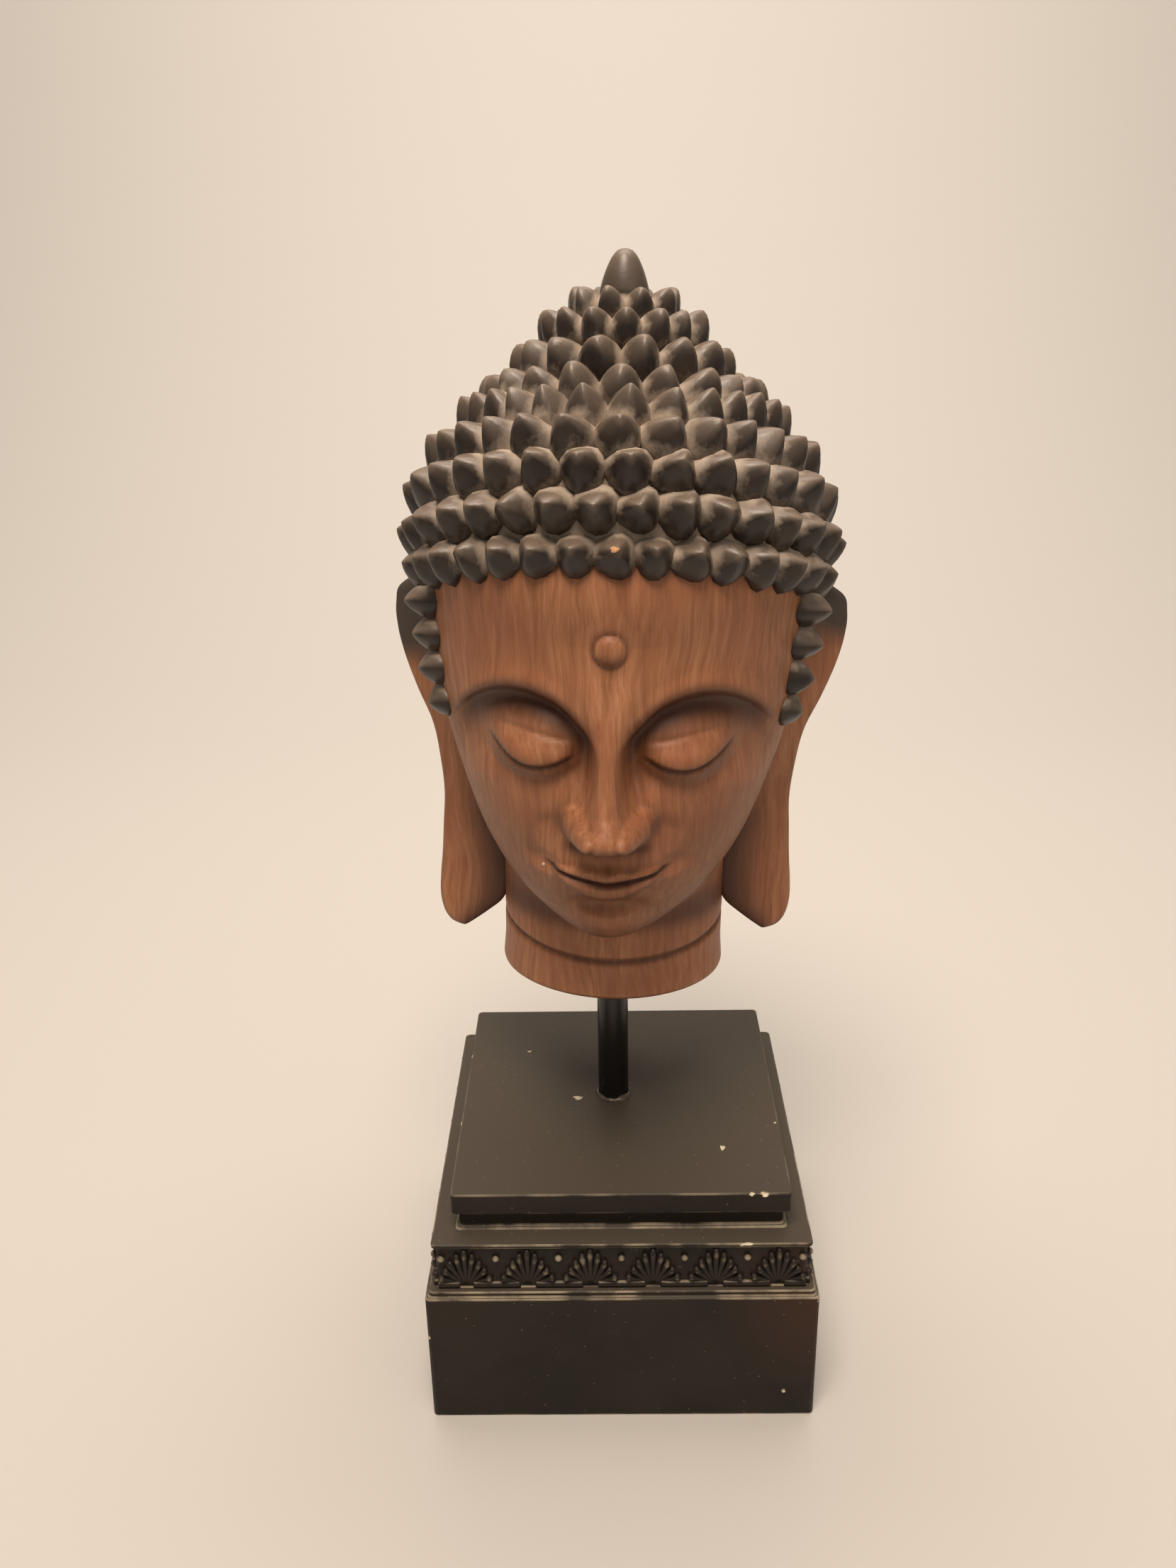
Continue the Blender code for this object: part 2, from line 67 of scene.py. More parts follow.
# The camera stands where the photograph was taken from: millimetres, degrees and pixels.
cameraSizes = {
    "place": (-2.2, -394.8, 364.0),
    "pitchDown": 22.25,
    "turn": -0.968,
    "roll": -1.072,
    "focalPixels": 1871.3,
    "framePixels": (1659, 2212),
    "sensor": 36.0,
}

# The studio: watts, metres and colours.
studioSizes = {
    "sweepWidth": 5.0,
    "sweepFront": -2.4,
    "sweepBack": 1.5,
    "sweepRadius": 0.9,
    "sweepHeight": 3.0,
    "paperColour": "C9C4BD",
    "worldColour": "F6EFE8",
    "worldStrength": 0.24,
    "keyPlace": (-0.1, -0.5, 1.35),
    "keyPower": 15.5,
    "keySize": 0.5,
    "keyColour": "FFEEDD",
    "fillPlace": (0.6, -0.8, 0.8),
    "fillPower": 1.4,
    "fillSize": 0.9,
    "fillColour": "FFF0DF",
    "wallPlace": (0.0, 0.45, 1.5),
    "wallPower": 20.5,
    "wallSize": 1.1,
    "wallColour": "FFF4E8",
    "wallAim": (0.0, 1.45, 0.35),
}


def linearColour(hexCode, alpha=1.0):
    parts = [int(hexCode[place:place + 2], 16) / 255 for place in (0, 2, 4)]
    linear = [part / 12.92 if part <= 0.04045 else ((part + 0.055) / 1.055) ** 2.4 for part in parts]
    return (*linear, alpha)


def addNode(tree, kind, inputs=None, **settings):
    node = tree.nodes.new(kind)
    for name, value in settings.items():
        setattr(node, name, value)
    for socket, value in (inputs or {}).items():
        if isinstance(value, bpy.types.NodeSocket):
            tree.links.new(value, node.inputs[socket])
        else:
            node.inputs[socket].default_value = value
    return node


def ramp(low, high, value):
    share = np.clip((value - low) / (high - low), 0, 1)
    return share * share * (3 - 2 * share)


def ridge(distance, width):
    return np.exp(-(distance / width) ** 2)


def through(points, value):  # smooth curve through (place, size) points
    places, sizes = np.array(points, float).T
    slopes = np.gradient(sizes, places)
    left = np.clip(np.searchsorted(places, value) - 1, 0, len(places) - 2)
    span = places[left + 1] - places[left]
    t = np.clip((value - places[left]) / span, 0, 1)
    near = (2 * t**3 - 3 * t**2 + 1) * sizes[left] + (t**3 - 2 * t**2 + t) * span * slopes[left]
    far = (3 * t**2 - 2 * t**3) * sizes[left + 1] + (t**3 - t**2) * span * slopes[left + 1]
    return near + far


def mound(x, z, centre, reach, height, power=1.5):
    inside = 1 - ((x - centre[0]) / reach[0]) ** 2 - ((z - centre[1]) / reach[1]) ** 2
    return height * np.clip(inside, 0, None) ** power


def oval(angle, side, front, back):  # reach of an oval, by the angle from its front
    depth = np.where(np.cos(angle) > 0, front, back)
    return 1 / np.hypot(np.sin(angle) / side, np.cos(angle) / depth)


def blendOut(a, b, softness):
    share = np.clip(0.5 + 0.5 * (a - b) / softness, 0, 1)
    return b * (1 - share) + a * share + softness * share * (1 - share)


def linkObject(name, mesh):
    thing = bpy.data.objects.new(name, mesh)
    bpy.context.scene.collection.objects.link(thing)
    return thing


def meshFrom(name, points, faces):
    mesh = bpy.data.meshes.new(name)
    mesh.from_pydata([tuple(point) for point in points], [], faces)
    mesh.update()
    return mesh


def ringFaces(rings, columns, start=0):  # quads between rings of points
    faces = []
    for ring in range(rings - 1):
        low = start + ring * columns
        for column in range(columns):
            after = (column + 1) % columns
            faces.append((low + column, low + after, low + after + columns, low + column + columns))
    return faces


def turnOutwards(mesh):
    work = bmesh.new()
    work.from_mesh(mesh)
    bmesh.ops.recalc_face_normals(work, faces=work.faces)
    work.to_mesh(mesh)
    work.free()
    return mesh


def tubeFaces(rings, columns, start=0):  # the rings' quads and both ends
    last = start + (rings - 1) * columns
    ends = [tuple(range(start, start + columns)), tuple(range(last, last + columns))]
    return ringFaces(rings, columns, start) + ends


def tubeMesh(name, points, rings, columns):
    return turnOutwards(meshFrom(name, points, tubeFaces(rings, columns)))


def storeNumber(mesh, name, values):
    attribute = mesh.attributes.get(name) or mesh.attributes.new(name, 'FLOAT', 'POINT')
    attribute.data.foreach_set("value", np.asarray(values, dtype=np.float32).ravel())


def meshPoints(mesh):
    points = np.empty(len(mesh.vertices) * 3)
    mesh.vertices.foreach_get("co", points)
    return points.reshape(-1, 3)


def joinInto(target, others):
    with bpy.context.temp_override(active_object=target, object=target,
                                   selected_editable_objects=[target] + others):
        bpy.ops.object.join()
    return target


def settle(thing):  # the object's modifiers become plain mesh
    depsgraph = bpy.context.evaluated_depsgraph_get()
    mesh = bpy.data.meshes.new_from_object(thing.evaluated_get(depsgraph))
    old = thing.data
    thing.modifiers.clear()
    thing.data = mesh
    bpy.data.meshes.remove(old)


def dropObject(thing):
    mesh = thing.data
    bpy.data.objects.remove(thing)
    bpy.data.meshes.remove(mesh)


def putCamera():
    pitch, turn, roll = (math.radians(cameraSizes[name]) for name in ("pitchDown", "turn", "roll"))
    look = Vector((math.sin(turn) * math.cos(pitch), math.cos(turn) * math.cos(pitch), -math.sin(pitch)))
    right = Vector((math.cos(turn), -math.sin(turn), 0))
    up = right.cross(look)
    rolledRight = right * math.cos(roll) + up * math.sin(roll)
    rolledUp = up * math.cos(roll) - right * math.sin(roll)
    data = bpy.data.cameras.new("photograph camera")
    data.sensor_width = cameraSizes["sensor"]
    data.lens = cameraSizes["focalPixels"] / max(cameraSizes["framePixels"]) * cameraSizes["sensor"]
    data.clip_start = 0.01
    camera = bpy.data.objects.new("photograph camera", data)
    turnMatrix = Matrix((rolledRight, rolledUp, -look)).transposed().to_4x4()
    place = Vector(cameraSizes["place"]) / 1000
    camera.matrix_world = Matrix.Translation(place) @ turnMatrix
    bpy.context.scene.collection.objects.link(camera)
    bpy.context.scene.camera = camera


def addLight(name):
    data = bpy.data.lights.new(name, 'AREA')
    data.energy = studioSizes[name + "Power"]
    data.size = studioSizes[name + "Size"]
    data.color = linearColour(studioSizes[name + "Colour"])[:3]
    light = bpy.data.objects.new(name, data)
    light.location = studioSizes[name + "Place"]
    aim = Vector(studioSizes.get(name + "Aim", (0, 0, 0.2))) - light.location
    light.rotation_euler = aim.to_track_quat('-Z', 'Y').to_euler()
    bpy.context.scene.collection.objects.link(light)


def buildStudio():  # a paper sweep, floor and back wall in one curve, lit by three soft boxes
    reach, radius = studioSizes["sweepWidth"] / 2, studioSizes["sweepRadius"]
    back = studioSizes["sweepBack"]
    profile = [(studioSizes["sweepFront"], 0.0)]
    for step in range(13):
        angle = math.pi / 2 * step / 12
        profile.append((back - radius + radius * math.sin(angle), radius - radius * math.cos(angle)))
    profile.append((back, studioSizes["sweepHeight"]))
    points = [(x, y, z) for y, z in profile for x in (-reach, reach)]
    faces = [(2 * step, 2 * step + 1, 2 * step + 3, 2 * step + 2) for step in range(len(profile) - 1)]
    data = meshFrom("paper sweep", points, faces)
    data.shade_smooth()
    paper = bpy.data.materials.new("matteStudioPaper")
    paper.use_nodes = True
    shader = paper.node_tree.nodes["Principled BSDF"]
    shader.inputs["Base Color"].default_value = linearColour(studioSizes["paperColour"])
    shader.inputs["Roughness"].default_value = 0.9
    data.materials.append(paper)
    linkObject("paper sweep", data)
    world = bpy.data.worlds.new("soft studio")
    world.use_nodes = True
    background = world.node_tree.nodes["Background"]
    background.inputs["Color"].default_value = linearColour(studioSizes["worldColour"])
    background.inputs["Strength"].default_value = studioSizes["worldStrength"]
    bpy.context.scene.world = world
    for name in ("key", "fill", "wall"):
        addLight(name)
    bpy.context.scene.view_settings.view_transform = 'Standard'


putCamera()
buildStudio()
print("camera and studio placed")

# Geometry Nodes: one tree puts a seed shape on every point, turned and sized by the point's own values.


def buildScatterTree():
    tree = bpy.data.node_groups.new("seeds on points", 'GeometryNodeTree')
    sockets = [("Geometry", 'NodeSocketGeometry'), ("Seed shape", 'NodeSocketObject'),
               ("Size spread", 'NodeSocketFloat'), ("Tilt spread", 'NodeSocketFloat'),
               ("Random seed", 'NodeSocketInt'), ("Finish", 'NodeSocketMaterial')]
    for name, kind in sockets:
        tree.interface.new_socket(name=name, in_out='INPUT', socket_type=kind)
    tree.interface.new_socket(name="Geometry", in_out='OUTPUT', socket_type='NodeSocketGeometry')
    given = addNode(tree, 'NodeGroupInput').outputs
    turn = addNode(tree, 'GeometryNodeInputNamedAttribute', {"Name": "turn"}, data_type='FLOAT_VECTOR')
    size = addNode(tree, 'GeometryNodeInputNamedAttribute', {"Name": "size"}, data_type='FLOAT_VECTOR')
    shape = addNode(tree, 'GeometryNodeObjectInfo', {"Object": given["Seed shape"]})
    facing = addNode(tree, 'FunctionNodeEulerToRotation', {"Euler": turn.outputs["Attribute"]})
    low = addNode(tree, 'ShaderNodeMath', {0: given["Tilt spread"], 1: -1.0}, operation='MULTIPLY')
    tilt = addNode(tree, 'FunctionNodeRandomValue',
                   {"Min": low.outputs[0], "Max": given["Tilt spread"], "Seed": given["Random seed"]},
                   data_type='FLOAT_VECTOR')
    tiltTurn = addNode(tree, 'FunctionNodeEulerToRotation', {"Euler": tilt.outputs["Value"]})
    turned = addNode(tree, 'FunctionNodeRotateRotation',
                     {"Rotation": facing.outputs[0], "Rotate By": tiltTurn.outputs[0]},
                     rotation_space='LOCAL')
    smallest = addNode(tree, 'ShaderNodeMath', {0: 1.0, 1: given["Size spread"]}, operation='SUBTRACT')
    largest = addNode(tree, 'ShaderNodeMath', {0: 1.0, 1: given["Size spread"]}, operation='ADD')
    vary = addNode(tree, 'FunctionNodeRandomValue',
                   {"Min": smallest.outputs[0], "Max": largest.outputs[0], "Seed": given["Random seed"]},
                   data_type='FLOAT_VECTOR')
    sized = addNode(tree, 'ShaderNodeVectorMath', {0: size.outputs["Attribute"], 1: vary.outputs["Value"]},
                    operation='MULTIPLY')
    placed = addNode(tree, 'GeometryNodeInstanceOnPoints',
                     {"Points": given["Geometry"], "Instance": shape.outputs["Geometry"],
                      "Rotation": turned.outputs[0], "Scale": sized.outputs[0]})
    solid = addNode(tree, 'GeometryNodeRealizeInstances', {"Geometry": placed.outputs[0]})
    finished = addNode(tree, 'GeometryNodeSetMaterial',
                       {"Geometry": solid.outputs[0], "Material": given["Finish"]})
    addNode(tree, 'NodeGroupOutput', {"Geometry": finished.outputs[0]})
    return tree


seedTree = buildScatterTree()


def scatter(name, spots, turns, sizes, seedMesh, finish, sizeSpread=0.0, tiltSpread=0.0, randomSeed=1):
    mesh = meshFrom(name, spots, [])
    for key, values in (("turn", turns), ("size", sizes)):
        attribute = mesh.attributes.new(key, 'FLOAT_VECTOR', 'POINT')
        attribute.data.foreach_set("vector", np.array(values, dtype=np.float32).ravel())
    points = linkObject(name, mesh)
    seed = linkObject(name + " seed", seedMesh)
    modifier = points.modifiers.new("seeds on points", 'NODES')
    modifier.node_group = seedTree
    values = {"Seed shape": seed, "Size spread": sizeSpread, "Tilt spread": math.radians(tiltSpread),
              "Random seed": randomSeed, "Finish": finish}
    for socket in seedTree.interface.items_tree:
        if socket.in_out == 'INPUT' and socket.name in values:
            modifier[socket.identifier] = values[socket.name]
    settle(points)
    dropObject(seed)
    return points


# Finishes. Pattern sizes are real ones, given per metre of the object.


def newFinish(name):
    finish = bpy.data.materials.new(name)
    finish.use_nodes = True
    tree = finish.node_tree
    return finish, tree, tree.nodes["Principled BSDF"], addNode(tree, 'ShaderNodeTexCoord').outputs["Object"]


def coat(tree, shader, colour, rough=None, relief=None):  # joins a finish's colour, gloss and fine relief
    tree.links.new(colour, shader.inputs["Base Color"])
    if rough:
        value, low, high = rough
        spread = addNode(tree, 'ShaderNodeMapRange', {"Value": value, "To Min": low, "To Max": high})
        tree.links.new(spread.outputs[0], shader.inputs["Roughness"])
    if relief:
        height, strength, reach = relief
        bump = addNode(tree, 'ShaderNodeBump', {"Height": height, "Strength": strength, "Distance": reach})
        tree.links.new(bump.outputs[0], shader.inputs["Normal"])


def makeFacingShare(tree, low, high, most):  # share by how far the surface faces up or down
    facing = addNode(tree, 'ShaderNodeSeparateXYZ',
                     {0: addNode(tree, 'ShaderNodeNewGeometry').outputs["Normal"]})
    share = addNode(tree, 'ShaderNodeMapRange',
                    {"Value": facing.outputs["Z"], "From Min": low, "From Max": high,
                     "To Max": most})
    return share.outputs[0]


# Cast resin painted as wood: brush-combed grain about 1 mm apart under satin varnish. The carving is painted
# darker, partly a dark stain wash and partly painted shade, and faces turned downward get painted shade,
# so that the eye reads carved and polished hardwood.
def makeWoodEffectResin():
    finish, tree, shader, place = newFinish("woodEffectPaintedResin")
    drift = addNode(tree, 'ShaderNodeTexNoise', {"Vector": place, "Scale": 22.0, "Detail": 2.0})
    pull = addNode(tree, 'ShaderNodeVectorMath',
                   {0: drift.outputs["Color"], 1: (0.5, 0.5, 0.5)}, operation='SUBTRACT')
    sway = addNode(tree, 'ShaderNodeVectorMath', {0: pull.outputs[0], "Scale": 0.012}, operation='SCALE')
    bent = addNode(tree, 'ShaderNodeVectorMath', {0: place, 1: sway.outputs[0]}, operation='ADD')
    combed = addNode(tree, 'ShaderNodeMapping', {"Vector": bent.outputs[0], "Scale": (1.0, 0.6, 0.04)})
    grain = addNode(tree, 'ShaderNodeTexNoise', {"Vector": combed.outputs[0], "Scale": 640.0, "Detail": 5.0,
                                                 "Roughness": 0.68})
    hair = addNode(tree, 'ShaderNodeTexNoise', {"Vector": combed.outputs[0], "Scale": 1700.0, "Detail": 2.0})
    patch = addNode(tree, 'ShaderNodeTexNoise', {"Vector": place, "Scale": 34.0, "Detail": 3.0})
    colours = addNode(tree, 'ShaderNodeValToRGB', {"Fac": grain.outputs["Fac"]})
    stops = colours.color_ramp.elements
    stops[0].position, stops[0].color = 0.3, linearColour("875737")
    stops[1].position, stops[1].color = 0.72, linearColour("B88460")
    middle = stops.new(0.5)
    middle.color = linearColour("A16C4B")
    patchShare = addNode(tree, 'ShaderNodeMapRange', {"Value": patch.outputs["Fac"], "From Min": 0.4,
                                                      "From Max": 0.68, "To Max": 0.5})
    patched = addNode(tree, 'ShaderNodeMixRGB',
                      {"Fac": patchShare.outputs[0], "Color1": colours.outputs["Color"],
                       "Color2": linearColour("91573C")})
    poreShare = addNode(tree, 'ShaderNodeMapRange', {"Value": hair.outputs["Fac"], "From Min": 0.6,
                                                     "From Max": 0.78, "To Max": 0.35})
    pored = addNode(tree, 'ShaderNodeMixRGB', {"Fac": poreShare.outputs[0], "Color1": patched.outputs[0],
                                               "Color2": linearColour("5C3625")})
    # painted shade: faces turned downward are painted darker, up to three quarters of the way to the dark
    # brown
    under = makeFacingShare(tree, -0.05, -0.8, 0.75)
    # the "shade" attribute paints the carving darker: partly a dark stain wash, partly painted shade
    shade = addNode(tree, 'ShaderNodeAttribute', attribute_name="shade")
    stainAndPaintedShade = addNode(tree, 'ShaderNodeMath', {0: shade.outputs["Fac"], 1: under}, operation='MAXIMUM')
    stainedAndShaded = addNode(tree, 'ShaderNodeMixRGB', {"Fac": stainAndPaintedShade.outputs[0], "Color1": pored.outputs[0],
                                                 "Color2": linearColour("3F241A")})
    edge = addNode(tree, 'ShaderNodeAttribute', attribute_name="hair")
    ragged = addNode(tree, 'ShaderNodeMath', {0: patch.outputs["Fac"], 1: 0.5}, operation='SUBTRACT')
    moved = addNode(tree, 'ShaderNodeMath', {0: ragged.outputs[0], 1: 1.2, 2: edge.outputs["Fac"]},
                    operation='MULTIPLY_ADD')
    hairShare = addNode(tree, 'ShaderNodeMapRange',
                        {"Value": moved.outputs[0], "From Min": 0.2, "From Max": 0.8})
    whole = addNode(tree, 'ShaderNodeMixRGB', {"Fac": hairShare.outputs[0], "Color1": stainedAndShaded.outputs[0],
                                               "Color2": linearColour("4A4038")})
    coat(tree, shader, whole.outputs[0], (grain.outputs["Fac"], 0.44, 0.58),
         (grain.outputs["Fac"], 0.35, 0.0001))
    shader.inputs["IOR"].default_value = 1.5
    shader.inputs["Specular IOR Level"].default_value = 0.35
    return finish


# Cast resin in charcoal paint: satin brown-black, with faces turned up painted paler, partly dust and partly
# painted light from above, paler tips, partly rubbed and partly a painted highlight, and grey-buff dust
# brushed into the valleys, so that every curl reads apart from its neighbours.
def makeCharcoalResin():
    finish, tree, shader, place = newFinish("charcoalPaintedResin")
    mottle = addNode(tree, 'ShaderNodeTexNoise', {"Vector": place, "Scale": 95.0, "Detail": 4.0})
    fine = addNode(tree, 'ShaderNodeTexNoise', {"Vector": place, "Scale": 900.0, "Detail": 3.0})
    colours = addNode(tree, 'ShaderNodeValToRGB', {"Fac": mottle.outputs["Fac"]})
    stops = colours.color_ramp.elements
    stops[0].position, stops[0].color = 0.36, linearColour("1D1612")
    stops[1].position, stops[1].color = 0.68, linearColour("352B24")
    # painted light: faces turned up are painted paler, partly dust settled from above, partly light from
    # above
    dustedAndTopLit = addNode(tree, 'ShaderNodeMixRGB', {"Fac": makeFacingShare(tree, 0.0, 0.7, 0.8),
                                                 "Color1": colours.outputs["Color"],
                                                 "Color2": linearColour("7A6A5B")})
    lift = addNode(tree, 'ShaderNodeAttribute', attribute_name="lift")
    # the tips painted paler: partly rubbed wear, partly a painted highlight
    tipWearAndHighlight = addNode(tree, 'ShaderNodeMapRange',
                       {"Value": lift.outputs["Fac"], "From Min": 0.8, "From Max": 1.0,
                        "To Max": 0.5})
    tipWornAndHighlit = addNode(tree, 'ShaderNodeMixRGB', {"Fac": tipWearAndHighlight.outputs[0], "Color1": dustedAndTopLit.outputs[0],
                                                "Color2": linearColour("7D6E5F")})
    dust = addNode(tree, 'ShaderNodeAttribute', attribute_name="dust")
    broken = addNode(tree, 'ShaderNodeMath', {0: fine.outputs["Fac"], 1: 0.5}, operation='SUBTRACT')
    uneven = addNode(tree, 'ShaderNodeMath', {0: broken.outputs[0], 1: 0.4, 2: dust.outputs["Fac"]},
                     operation='MULTIPLY_ADD')
    dustShare = addNode(tree, 'ShaderNodeMapRange',
                        {"Value": uneven.outputs[0], "From Min": 0.12, "From Max": 0.85,
                         "To Max": 0.9})
    dusty = addNode(tree, 'ShaderNodeMixRGB', {"Fac": dustShare.outputs[0], "Color1": tipWornAndHighlit.outputs[0],
                                               "Color2": linearColour("B4A391")})
    coat(tree, shader, dusty.outputs[0], (dustShare.outputs[0], 0.38, 0.85),
         (fine.outputs["Fac"], 0.3, 0.00015))
    shader.inputs["IOR"].default_value = 1.5
    return finish


# Cast resin in a dark olive-brown wash: matt to satin, cloudy, with dust specks, a fine grainy relief and a
# redder patch at one side, and top faces painted paler, partly dust and partly painted light from above, so
# that the plinth reads as painted and handled.
def makeDarkWashResin(name, darkHex, lightHex, litDustyTopHex, rubbed):
    finish, tree, shader, place = newFinish(name)
    cloud = addNode(tree, 'ShaderNodeTexNoise',
                    {"Vector": place, "Scale": 30.0, "Detail": 5.0, "Roughness": 0.6})
    fine = addNode(tree, 'ShaderNodeTexNoise', {"Vector": place, "Scale": 1300.0, "Detail": 2.0})
    colours = addNode(tree, 'ShaderNodeValToRGB', {"Fac": cloud.outputs["Fac"]})
    stops = colours.color_ramp.elements
    stops[0].position, stops[0].color = 0.35, linearColour(darkHex)
    stops[1].position, stops[1].color = 0.68, linearColour(lightHex)
    redAway = addNode(tree, 'ShaderNodeVectorMath',
                      {0: place, 1: (0.066, -0.0635, 0.046)}, operation='DISTANCE')
    redShare = addNode(tree, 'ShaderNodeMapRange', {"Value": redAway.outputs["Value"], "From Min": 0.036,
                                                    "From Max": 0.004, "To Max": 0.75})
    reddened = addNode(tree, 'ShaderNodeMixRGB',
                       {"Fac": redShare.outputs[0], "Color1": colours.outputs["Color"],
                        "Color2": linearColour("41281A")})
    # painted light: faces turned up are painted paler, partly dust, partly light from above
    topDustedAndLit = addNode(tree, 'ShaderNodeMixRGB', {"Fac": makeFacingShare(tree, 0.3, 0.95, 0.85),
                                                "Color1": reddened.outputs[0],
                                                "Color2": linearColour(litDustyTopHex)})
    rub = addNode(tree, 'ShaderNodeTexNoise', {"Vector": place, "Scale": 90.0, "Detail": 4.0})
    rubShare = addNode(tree, 'ShaderNodeMapRange', {"Value": rub.outputs["Fac"], "From Min": 0.4,
                                                    "From Max": 0.62, "To Max": rubbed})
    parts = addNode(tree, 'ShaderNodeSeparateXYZ', {0: place})
    frontShare = addNode(tree, 'ShaderNodeMapRange', {"Value": parts.outputs["Y"], "From Min": 0.03,
                                                      "From Max": -0.056, "To Min": 0.25})
    lowShare = addNode(tree, 'ShaderNodeMapRange', {"Value": parts.outputs["Z"], "From Min": 0.075,
                                                    "From Max": 0.071, "To Min": 0.45})
    wear = addNode(tree, 'ShaderNodeMath',
                   {0: rubShare.outputs[0], 1: frontShare.outputs[0]}, operation='MULTIPLY')
    wear = addNode(tree, 'ShaderNodeMath', {0: wear.outputs[0], 1: lowShare.outputs[0]}, operation='MULTIPLY')
    worn = addNode(tree, 'ShaderNodeMixRGB', {"Fac": wear.outputs[0], "Color1": topDustedAndLit.outputs[0],
                                              "Color2": linearColour("A6987F")})
    speck = addNode(tree, 'ShaderNodeTexVoronoi', {"Vector": place, "Scale": 260.0})
    speckShare = addNode(tree, 'ShaderNodeMapRange', {"Value": speck.outputs["Distance"], "From Min": 0.09,
                                                      "From Max": 0.04, "To Max": 0.35})
    specked = addNode(tree, 'ShaderNodeMixRGB', {"Fac": speckShare.outputs[0], "Color1": worn.outputs[0],
                                                 "Color2": linearColour("9C8F7C")})
    coat(tree, shader, specked.outputs[0], (cloud.outputs["Fac"], 0.42, 0.62),
         (fine.outputs["Fac"], 0.25, 0.0001))
    shader.inputs["IOR"].default_value = 1.48
    shader.inputs["Specular IOR Level"].default_value = 0.28
    return finish


# Steel tube in black stoving enamel: nearly mirror-smooth with a faint ripple, so it shows thin bright
# lines down its length.
def makeBlackEnamel():
    finish, tree, shader, place = newFinish("blackStovedEnamel")
    ripple = addNode(tree, 'ShaderNodeTexNoise', {"Vector": place, "Scale": 240.0, "Detail": 2.0})
    smear = addNode(tree, 'ShaderNodeTexNoise', {"Vector": place, "Scale": 70.0, "Detail": 3.0})
    tint = addNode(tree, 'ShaderNodeMixRGB', {"Fac": smear.outputs["Fac"], "Color1": linearColour("0D0B0A"),
                                              "Color2": linearColour("1B1714")})
    coat(tree, shader, tint.outputs[0], (smear.outputs["Fac"], 0.14, 0.34),
         (ripple.outputs["Fac"], 0.12, 0.00008))
    return finish


# A bare break: chalky cream filler, or the orange resin under the paint, rough and slightly grainy.
def makeBareBreak(name, darkHex, lightHex, roughness):
    finish, tree, shader, place = newFinish(name)
    grit = addNode(tree, 'ShaderNodeTexNoise', {"Vector": place, "Scale": 1500.0, "Detail": 3.0})
    tint = addNode(tree, 'ShaderNodeMixRGB', {"Fac": grit.outputs["Fac"], "Color1": linearColour(darkHex),
                                              "Color2": linearColour(lightHex)})
    coat(tree, shader, tint.outputs[0], relief=(grit.outputs["Fac"], 0.5, 0.0002))
    shader.inputs["Roughness"].default_value = roughness
    return finish


woodEffectResin = makeWoodEffectResin()
charcoalResin = makeCharcoalResin()
darkWashResin = makeDarkWashResin("darkWashPaintedResin", "1D1713", "2A221B", "4F473D", 0.0)
rubbedEdgeResin = makeDarkWashResin("rubbedEdgePaintedResin", "2B241D", "3A3128", "554C41", 0.8)
blackEnamel = makeBlackEnamel()
creamFiller = makeBareBreak("creamPlasterFiller", "C9BB9C", "EBE2CC", 0.85)
orangeResin = makeBareBreak("bareCastResin", "B97648", "E9B98A", 0.6)
clearGlue = makeBareBreak("driedClearGlue", "2E2721", "6E6455", 0.25)
print("finishes mixed")

# The head's own scale: 224.6 units from the cut of the neck to the bud's tip, as in the frame.
headSizes = {
    "height": 0.2246,
    "units": 224.6,
    "rodExposed": 0.0538,
    "leanDegrees": 1.5,
    "turnDegrees": -3.0,
    "axisBack": 3.0,
    "rings": 285,
    "columns": 200,
    "scalpRings": 44,
    "scalpBack": 1.12,
    "neckReach": (36.3, 31.0, 40.0),
    "scalp": [(35, 14), (45, 25), (58, 37), (75, 48), (95, 54.5), (115, 57.2), (135, 58.2), (148, 57.8),
              (157, 55.6), (167, 49.5), (177, 40.3), (183, 32), (191, 25), (201, 18), (207.5, 11), (212, 7)],
    "scalpFront": [(35, 14), (45, 25), (58, 37), (75, 48), (95, 54.5), (115, 57.2), (135, 58), (150, 58),
                   (163, 58), (174, 55.6), (182, 50), (186.5, 40), (190.5, 31.5), (196, 24.3), (203, 18),
                   (208, 11), (212, 7)],
    "cheeks": [(28, 10), (30, 16), (33, 22.5), (38, 29.5), (45, 36), (54, 41.5), (65, 46), (78, 49),
               (92, 50.5), (106, 51.3), (120, 52), (150, 52.5), (170, 30)],
    "front": [(28, 33), (30, 41), (33, 46.5), (38, 50), (45, 52.5), (54, 54.5), (65, 56), (78, 57),
              (92, 57.5), (106, 58), (120, 58.3), (150, 57), (170, 32)],
    "foldHeight": 14.5,
    "foldRise": 5.5,
    "foldDepth": 1.1,
    "budWidth": 14.6,
    "budRings": 16,
    "budProfile": [(0, 1), (0.25, 0.9), (0.5, 0.76), (0.7, 0.61), (0.84, 0.47), (0.93, 0.33), (0.98, 0.18),
                   (1, 0.02)],
    "socketRadius": 5.6,
    "socketDepth": 45.0,
}

